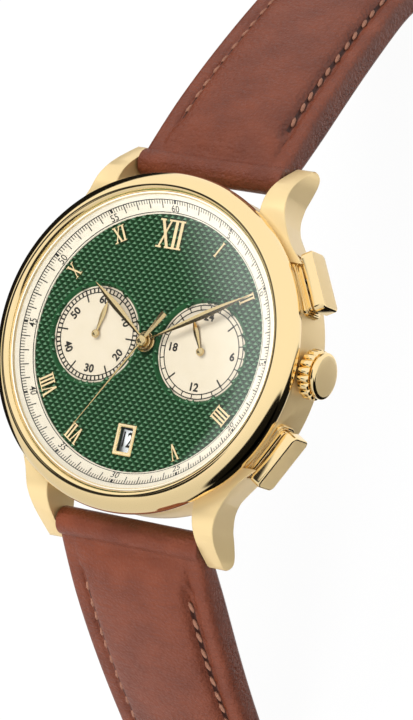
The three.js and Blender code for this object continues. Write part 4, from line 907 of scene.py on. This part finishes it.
# ---------- pushers ----------
# Two rectangular pushers, either side of the crown. Each hollow head slides over a stepped collar,
# which is fixed in the mid-case; its rod and return spring are behind it.
def rounded_plate(x0, x1, inset, corner, edge):
    """A flat plate across X with rounded corners, its outer face's edge rounded too."""
    w, h = PUSHER_W - inset, PUSHER_H - inset
    plate = slab(x0, x1, -w, w, -h, h)
    upright = [e for e in plate.edges if abs(e.verts[0].co.x - e.verts[1].co.x) > 1e-4]
    bmesh.ops.bevel(plate, geom=upright, offset=corner, segments=5, **BEVEL)
    outer = [e for e in plate.edges if all(abs(v.co.x - x1) < 1e-5 for v in e.verts)]
    bmesh.ops.bevel(plate, geom=outer, offset=edge, segments=3, **BEVEL)
    return plate


COLLAR_STEPS = [
    (18.77, 19.52, 0, 0.9, 0.06),
    (19.40, 19.63, 0.03, 0.9, 0.06),
    (19.5, 19.76, 0.22, 0.8, 0.06),
    (19.7, 20.15, 0.47, 0.6, 0.08),
]


def pusher_collar():
    """Four plates, each smaller than the one below, and the tube that they are turned on."""
    steps = [carved(rounded_plate(*step), bore_from(18)) for step in COLLAR_STEPS]
    return joined(*steps, spun([(0.64, 17.42), (1.1, 17.42), (1.1, 18.8), (0.64, 18.8)], 32, "X"))


def pusher_head():
    """A block hollowed from below, brushed on its face, with the rod it pushes."""
    block = rounded_plate(PUSHER_BACK, PUSHER_FACE, 0, 0.7, 0.22)
    head = carved(block, slab(20, 21.0, -3.3, 3.3, -1.45, 1.45))
    for face in head.faces:
        face.material_index = 1 if abs(face.normal.x) > 0.99 else 0
    rod = spun([(0, 15.9), (0.6, 15.9), (0.6, 21.4), (0, 21.4)], 24, "X", closed=False)
    return joined(head, rod)


for hour, side in (2, 1), (4, -1):
    collar = copied(pusher_collar(), control_place(side))
    made(f"stepped_collar_{hour}", collar, "case", "polished_gold", polished_gold,
         replaced=[f"pusher_tube_{hour}"])
    head = copied(pusher_head(), control_place(side))
    made(f"pusher_head_{hour}", head, f"pusher_{hour}", "polished_gold", polished_gold, satin_gold,
         replaced=[f"pusher_{hour}"])

# ---------- case back ----------
# A steel disc screwed up under the mid-case, turned with fine rings, with six notches for the key.
turned_steel = Finish("turned_steel", Base_Color=(0.62, 0.62, 0.61), Metallic=1.0)
turned_steel.set(Roughness=turned_steel.noise(3000, 3) * 0.15 + 0.2)
across = turned_steel.node("VectorMath", {"operation": "MULTIPLY"}, turned_steel.place, (1, 1, 0))
radius = turned_steel.node("VectorMath", {"operation": "LENGTH"}, across).at("Value")
turned_steel.bump(turned_steel.node("Math", {"operation": "SINE"}, radius * 42000), 0.000002, 0.6)
plain_steel = polished("plain_steel", (0.66, 0.66, 0.65), 0.12)

back = spun([
    (0, 0), *arc(13.85, 0.15, 0.15, -90, -30, 3), (14.1, 0.14), (14.25, 0.14),
    *arc(17.4, 0.52, 0.12, -75, -10, 3), *arc(18.45, 1.05, 0.15, -60, 0, 3),
    (18.6, 1.28), (17.38, 1.28), (17.38, 2.6), (15.9, 2.6), (15.9, 1.1), (0, 1.1),
], 192, closed=False)
notches = copied(slab(16, 20, -1.2, 1.2, -1, 0.42), *[
    Matrix.Rotation(math.radians(30 + 60 * i), 4, "Z") for i in range(6)
])
back = carved(back, notches)
for face in back.faces:
    in_middle = math.hypot(*face.calc_center_median().xy) < 13.8
    face.material_index = 1 if in_middle and face.normal.z < 0 else 0
made("screwed_back", back, "case", "steel", plain_steel, turned_steel.material, replaced=["case_back"])

# ---------- strap ----------
# Two halves of reddish-brown calf leather, padded so that they are thick and crowned near the case
# and thin towards their ends, sewn along both edges in tan thread, each turned round its spring bar.
STRAP_HALF = 9.0
STRAP_ROOT = 9.85
BAR_Y = 21.6
BAR_Z = 2.6
DROP = 33.0
GROOVE = 0.735
GROOVE_DEPTH = 0.75
FLOOR_Z = cad_box[0].z / MM
SHORT_END = 89.398
LONG_END = 122.673
STATION = 0.5
crown_height = curve_through([
    (0, 1.3), (1.4, 1.45), (2.6, 2.1), (5, 2.75), (11, 2.95), (22, 2.65), (40, 1.95), (60, 1.5), (120, 1.35),
])
edge_height = curve_through([
    (0, 1.25), (4, 1.4), (10, 1.55), (22, 1.45), (40, 1.25), (60, 1.1), (120, 1.05),
])
foot_depth = curve_through([
    (0, 1.2), (4, 1.6), (10, 1.9), (22, 1.8), (40, 1.5), (58, 1.28), (70, 1.25), (120, 1.25),
])
across_shares = [
    0, 0.15, 0.3, 0.42, 0.52, 0.6, 0.655, 0.685, 0.71, GROOVE,
    0.76, 0.785, 0.815, 0.85, 0.885, 0.92, 0.95, 0.975, 0.992, 1,
]


def strap_line(bends, flat_radius, length):
    """Fine steps along the middle of a strap half: (length so far, run out, height, slope)."""
    steepest = bends[-1][1]
    to_flat = (steepest, 0, flat_radius * math.radians(steepest))
    fallen = 0
    for start, end, reach in [*bends, to_flat]:
        a, b = math.radians(start), math.radians(end)
        fallen += reach * (math.cos(a) - math.cos(b)) / (b - a)
    hold = (steepest, steepest, (DROP - fallen) / math.sin(math.radians(steepest)))
    used = sum(stretch[2] for stretch in [*bends, hold, to_flat])
    so_far, out, height = 0, 0, 0
    line = [(0, 0, 0, math.radians(bends[0][0]))]
    for start, end, reach in [*bends, hold, to_flat, (0, 0, length - used)]:
        steps = math.ceil(reach / STATION)
        for i in range(steps):
            slope = math.radians(start + (end - start) * (i + 0.5) / steps)
            so_far += reach / steps
            out += reach / steps * math.cos(slope)
            height -= reach / steps * math.sin(slope)
            here = math.radians(start + (end - start) * (i + 1) / steps)
            line.append((so_far, out, height, here))
    return line


def upper(share, so_far, half):
    """Height of the strap's face over its middle, at a share of its half width."""
    roll = min(0.8, 0.45 * half)
    pad = max(0, 1 - (share / 0.78) ** 2) ** 0.4
    height = edge_height(so_far) + (crown_height(so_far) - edge_height(so_far)) * pad
    sewn = min(max((so_far - 4.5) / 1.5, 0), 1)
    height -= GROOVE_DEPTH * sewn * math.exp(-((share - GROOVE) * 9 / 0.42) ** 2)
    past = max(0, share * half - (half - roll))
    return height - roll + math.sqrt(max(roll * roll - past * past, 0))


def strap_half(side, line, half_at, first, last):
    """The padded body of a strap half, drawn out between two lengths along it."""
    sections = []
    for so_far, out, height, slope in line:
        if not first <= so_far <= last:
            continue
        half = half_at(BAR_Y + out)
        thin = math.sqrt(max(1 - max(0, (so_far - last + 0.7) / 0.75) ** 2, 0.05))
        rim = [(share * half, upper(share, so_far, half) * thin) for share in across_shares]
        under = foot_depth(so_far)
        foot = [(half, 0.5 - under), (half - 0.12, 0.17 - under), (half - 0.4, -under), (0.55 * half, -under)]
        foot = [(x, z * thin) for x, z in foot]
        right = [*rim, *foot]
        loop = [*right, *[(-x, z) for x, z in reversed(right[1:])]]
        y, z = BAR_Y + out, BAR_Z + height
        sections.append([(x, side * (y + h * math.sin(slope)), z + h * math.cos(slope)) for x, h in loop])
    return drawn_out(sections)


def bar_loop(y, z, radius, hole, x0, x1):
    """The rolled end round a bar."""
    ring = spun([
        (hole, x0), *arc(radius - 0.3, x0 + 0.3, 0.3, -90, 0, 4),
        *arc(radius - 0.3, x1 - 0.3, 0.3, 0, 90, 4), (hole, x1),
    ], 48, "X")
    bmesh.ops.translate(ring, vec=(0, y, z), verts=ring.verts)
    return ring


STITCH = 2.3


def stitches(side, line, half_at, first, last):
    """Thread along both grooves, above and below: rounded stitches that lie a little aslant."""
    stitch = bmesh.new()
    bmesh.ops.create_uvsphere(stitch, u_segments=6, v_segments=5, radius=1)
    bmesh.ops.scale(stitch, vec=(0.29, 0.86, 0.27), verts=stitch.verts)
    places = []
    walked = 0
    previous = None
    for so_far, out, height, slope in line:
        if not first <= so_far <= last:
            continue
        half = half_at(BAR_Y + out)
        here = Vector((GROOVE * half, BAR_Y + out, BAR_Z + height))
        walked += (here - previous).length if previous else 0
        if previous and walked >= STITCH:
            walked -= STITCH
            over = upper(GROOVE, so_far, half) + 0.16
            run = here - previous
            for x in (-1, 1):
                for lift in (over, -foot_depth(so_far) + 0.12):
                    up = Vector((0, side * math.sin(slope), math.cos(slope)))
                    spot = Vector((x * here.x, side * here.y, here.z)) + up * lift
                    along = Vector((x * run.x, side * run.y, run.z)).normalized()
                    across = along.cross(up).normalized()
                    frame_of = Matrix((across, along, across.cross(along))).transposed().to_4x4()
                    turn = Matrix.Rotation(math.radians(13 * x), 4, "Z")
                    places.append(Matrix.Translation(spot) @ frame_of @ turn)
        previous = here
    return copied(stitch, *places)


hide = Finish("strap_leather", Specular_IOR_Level=0.35, Coat_Weight=0.14, Coat_Roughness=0.3)
wear = hide.noise(260, 4)
pores = {"feature": "SMOOTH_F1"}
grain = hide.node("TexVoronoi", pores, Vector=hide.place, Scale=2300.0, Smoothness=0.4)
creases = hide.noise(1500, 3, (0.25, 1, 1))
hide.set(Base_Color=hide.blend(wear, (0.075, 0.0155, 0.0065), (0.185, 0.047, 0.021)))
hide.set(Roughness=grain * 0.25 + wear * 0.1 + 0.27)
hide.bump(grain * 0.5 + creases * 0.9 + hide.noise(5200, 3) * 0.5, 0.00022, 0.9)
# Leather for the sewn grooves: darker, partly from burnishing and partly as painted shade in the recess.
groove_burnish_and_shade = Finish("burnished_and_shaded_leather", Roughness=0.6)
burnish_and_shade_tone = groove_burnish_and_shade.noise(900, 3)
groove_burnish_and_shade.set(Base_Color=groove_burnish_and_shade.blend(burnish_and_shade_tone, (0.018, 0.005, 0.003), (0.05, 0.014, 0.008)))
groove_burnish_and_shade.bump(groove_burnish_and_shade.noise(4000, 3), 0.0001, 0.7)
lining = Finish("strap_lining", Roughness=0.75)
lining.set(Base_Color=lining.blend(lining.noise(900, 4), (0.16, 0.075, 0.045), (0.27, 0.14, 0.09)))
lining.bump(lining.noise(3800, 4), 0.00005, 0.6)
thread = Finish("strap_thread", Roughness=0.7)
thread.set(Base_Color=thread.blend(thread.noise(2500), (0.13, 0.055, 0.035), (0.34, 0.16, 0.10)))
thread.bump(thread.noise(12000, 2, (1, 0.3, 1)), 0.00003, 0.7)


short_width = curve_through([
    (0, STRAP_ROOT), (24, STRAP_ROOT), (34, 9.75), (46, 9.55), (58, 9.2), (67, STRAP_HALF),
    (80, STRAP_HALF), (140, STRAP_HALF),
])
TIP = 14
long_tip = curve_through([
    (LONG_END - TIP, 9.0), (LONG_END - 10, 8.95), (LONG_END - 4.6, 6.5), (LONG_END - 1.1, 3.0),
    (LONG_END, 0.8),
])


def long_width(y):
    """Half the long half's width, which runs to a rounded tip."""
    return min(short_width(y), long_tip(y)) if y > LONG_END - TIP else short_width(y)


SHORT_LENGTH = 80
LONG_LENGTH = 115
short_line = strap_line([(31, 40, 29), (40, 60, 10)], 16, SHORT_LENGTH)
long_line = strap_line([(43, 52, 27)], 18, LONG_LENGTH)


def leather_faces(shape, half_at):
    """Lining below, and darker leather in the sewn grooves: partly burnished by the sewing, partly painted
    shade of the groove.
    """
    for face in shape.faces:
        middle = face.calc_center_median()
        share = abs(middle.x) / half_at(abs(middle.y))
        in_groove = abs(share - GROOVE) < 0.02 and abs(middle.y) > 28
        face.material_index = 1 if face.normal.z < -0.3 else 2 if in_groove else 0


# The short half: a slot for the tongue between two loops, and thinner under the keepers.
short = strap_half(1, short_line, short_width, 1.0, SHORT_LENGTH - 1)
notch = slab(-1.3, 1.3, SHORT_END - 7, SHORT_END + 5, FLOOR_Z - 5, FLOOR_Z + 10)
relief = slab(-40, 40, SHORT_END - 22, SHORT_END - 7.9, FLOOR_Z - 5, FLOOR_Z + 1.1)
short = carved(carved(short, notch), relief)
short = joined(
    short, bar_loop(BAR_Y, BAR_Z, 1.7, 0.83, -STRAP_ROOT, STRAP_ROOT),
    bar_loop(SHORT_END, FLOOR_Z + 1.6, 1.6, 0.82, 1.3, STRAP_HALF),
    bar_loop(SHORT_END, FLOOR_Z + 1.6, 1.6, 0.82, -STRAP_HALF, -1.3),
)
leather_faces(short, short_width)
short_strap = made("padded_strap_short", short, "strap_12", "leather", hide.material, lining.material,
                   groove_burnish_and_shade.material, replaced=["strap_12"], sharp=50)
short_thread = stitches(1, short_line, short_width, 5.5, 57.0)
made("stitching_short", short_thread, "strap_12", "leather", thread.material)

# The long half: seven punched holes.
HOLES = 7
HOLE_STEP = 6.5
long = strap_half(-1, long_line, long_width, 1.0, LONG_LENGTH)
holes = [Matrix.Translation((0, -(LONG_END - 22 - HOLE_STEP * i), FLOOR_Z)) for i in range(HOLES)]
punch = spun([(0, -5), (1, -5), (1, 10), (0, 10)], 20, closed=False)
long = carved(long, copied(punch, *holes))
long = joined(long, bar_loop(-BAR_Y, BAR_Z, 1.7, 0.83, -STRAP_ROOT, STRAP_ROOT))
leather_faces(long, long_width)
long_strap = made("padded_strap_long", long, "strap_6", "leather", hide.material, lining.material,
                  groove_burnish_and_shade.material, replaced=["strap_6"], sharp=50)
long_thread = stitches(-1, long_line, long_width, 5.5, 113.0)
made("stitching_long", long_thread, "strap_6", "leather", thread.material)

# ---------- keepers ----------
# Two leather loops round the short half: one sewn by the buckle, one that slides.
for node, body in ("fixed_keeper", "strap_12"), ("free_keeper", "free_keeper"):
    loop = softened(node, 0.35, 3)
    keeper = made(f"{node}_leather", loop, body, "leather", hide.material, replaced=[node], sharp=50)

# ---------- buckle ----------
# A polished pin buckle: a frame with two arms, a straight tongue, and the bar that both turn on.
made("pin_buckle", softened("buckle_frame", 0.35, 3), "buckle", "polished_gold", polished_gold,
     replaced=["buckle_frame"])
made("straight_tongue", softened("buckle_tongue", 0.22, 3), "tongue", "polished_gold", polished_gold,
     replaced=["buckle_tongue"])

# ---------- movement ----------
# What the case hides: a quartz movement in a nylon holder, its wheels, coil, cell and circuit board,
# and the steel bars, tubes and springs of the controls.
brass = satin("machined_brass", (0.78, 0.58, 0.28), (0.3, 1, 0.3), 0.3)
steel = satin("brushed_steel", (0.60, 0.61, 0.62), (0.25, 0.25, 1), 0.24)
winding = Finish("copper_winding", Base_Color=(0.72, 0.33, 0.16), Metallic=0.9, Roughness=0.35)
bands = {"wave_type": "BANDS", "bands_direction": "X"}
turns = winding.node("TexWave", bands, Vector=winding.place, Scale=900.0)
winding.bump(turns, 0.00004, 0.8)
board = Finish("circuit_board", Roughness=0.4)
board.set(Base_Color=board.blend(board.noise(900, 4), (0.02, 0.14, 0.06), (0.06, 0.30, 0.14)))
board.bump(board.noise(2500), 0.00002)
black = Finish("black_plastic", Base_Color=(0.02, 0.02, 0.022))
black.set(Roughness=black.noise(3000) * 0.2 + 0.45)
black.bump(black.noise(7000), 0.00001)
rubber = Finish("black_rubber", Base_Color=(0.015, 0.015, 0.015))
rubber.set(Roughness=rubber.noise(2500) * 0.15 + 0.7)
rubber.bump(rubber.noise(6000), 0.00001)
MATERIALS = {
    "brass": brass, "steel": steel, "copper": winding.material, "board": board.material,
    "nylon": nylon.material, "black_plastic": black.material, "rubber": rubber.material,
    "polished_gold": polished_gold,
    "satin_gold": satin_gold, "cream_paint": white_paint.material, "green_lacquer": deep_green,
    "leather": hide.material,
}
for part in frame["record"]["subparts"]:
    if part["node"] not in ("dial", "date_ring", "crystal"):
        finished(part["node"], MATERIALS[part["material_slot"]])
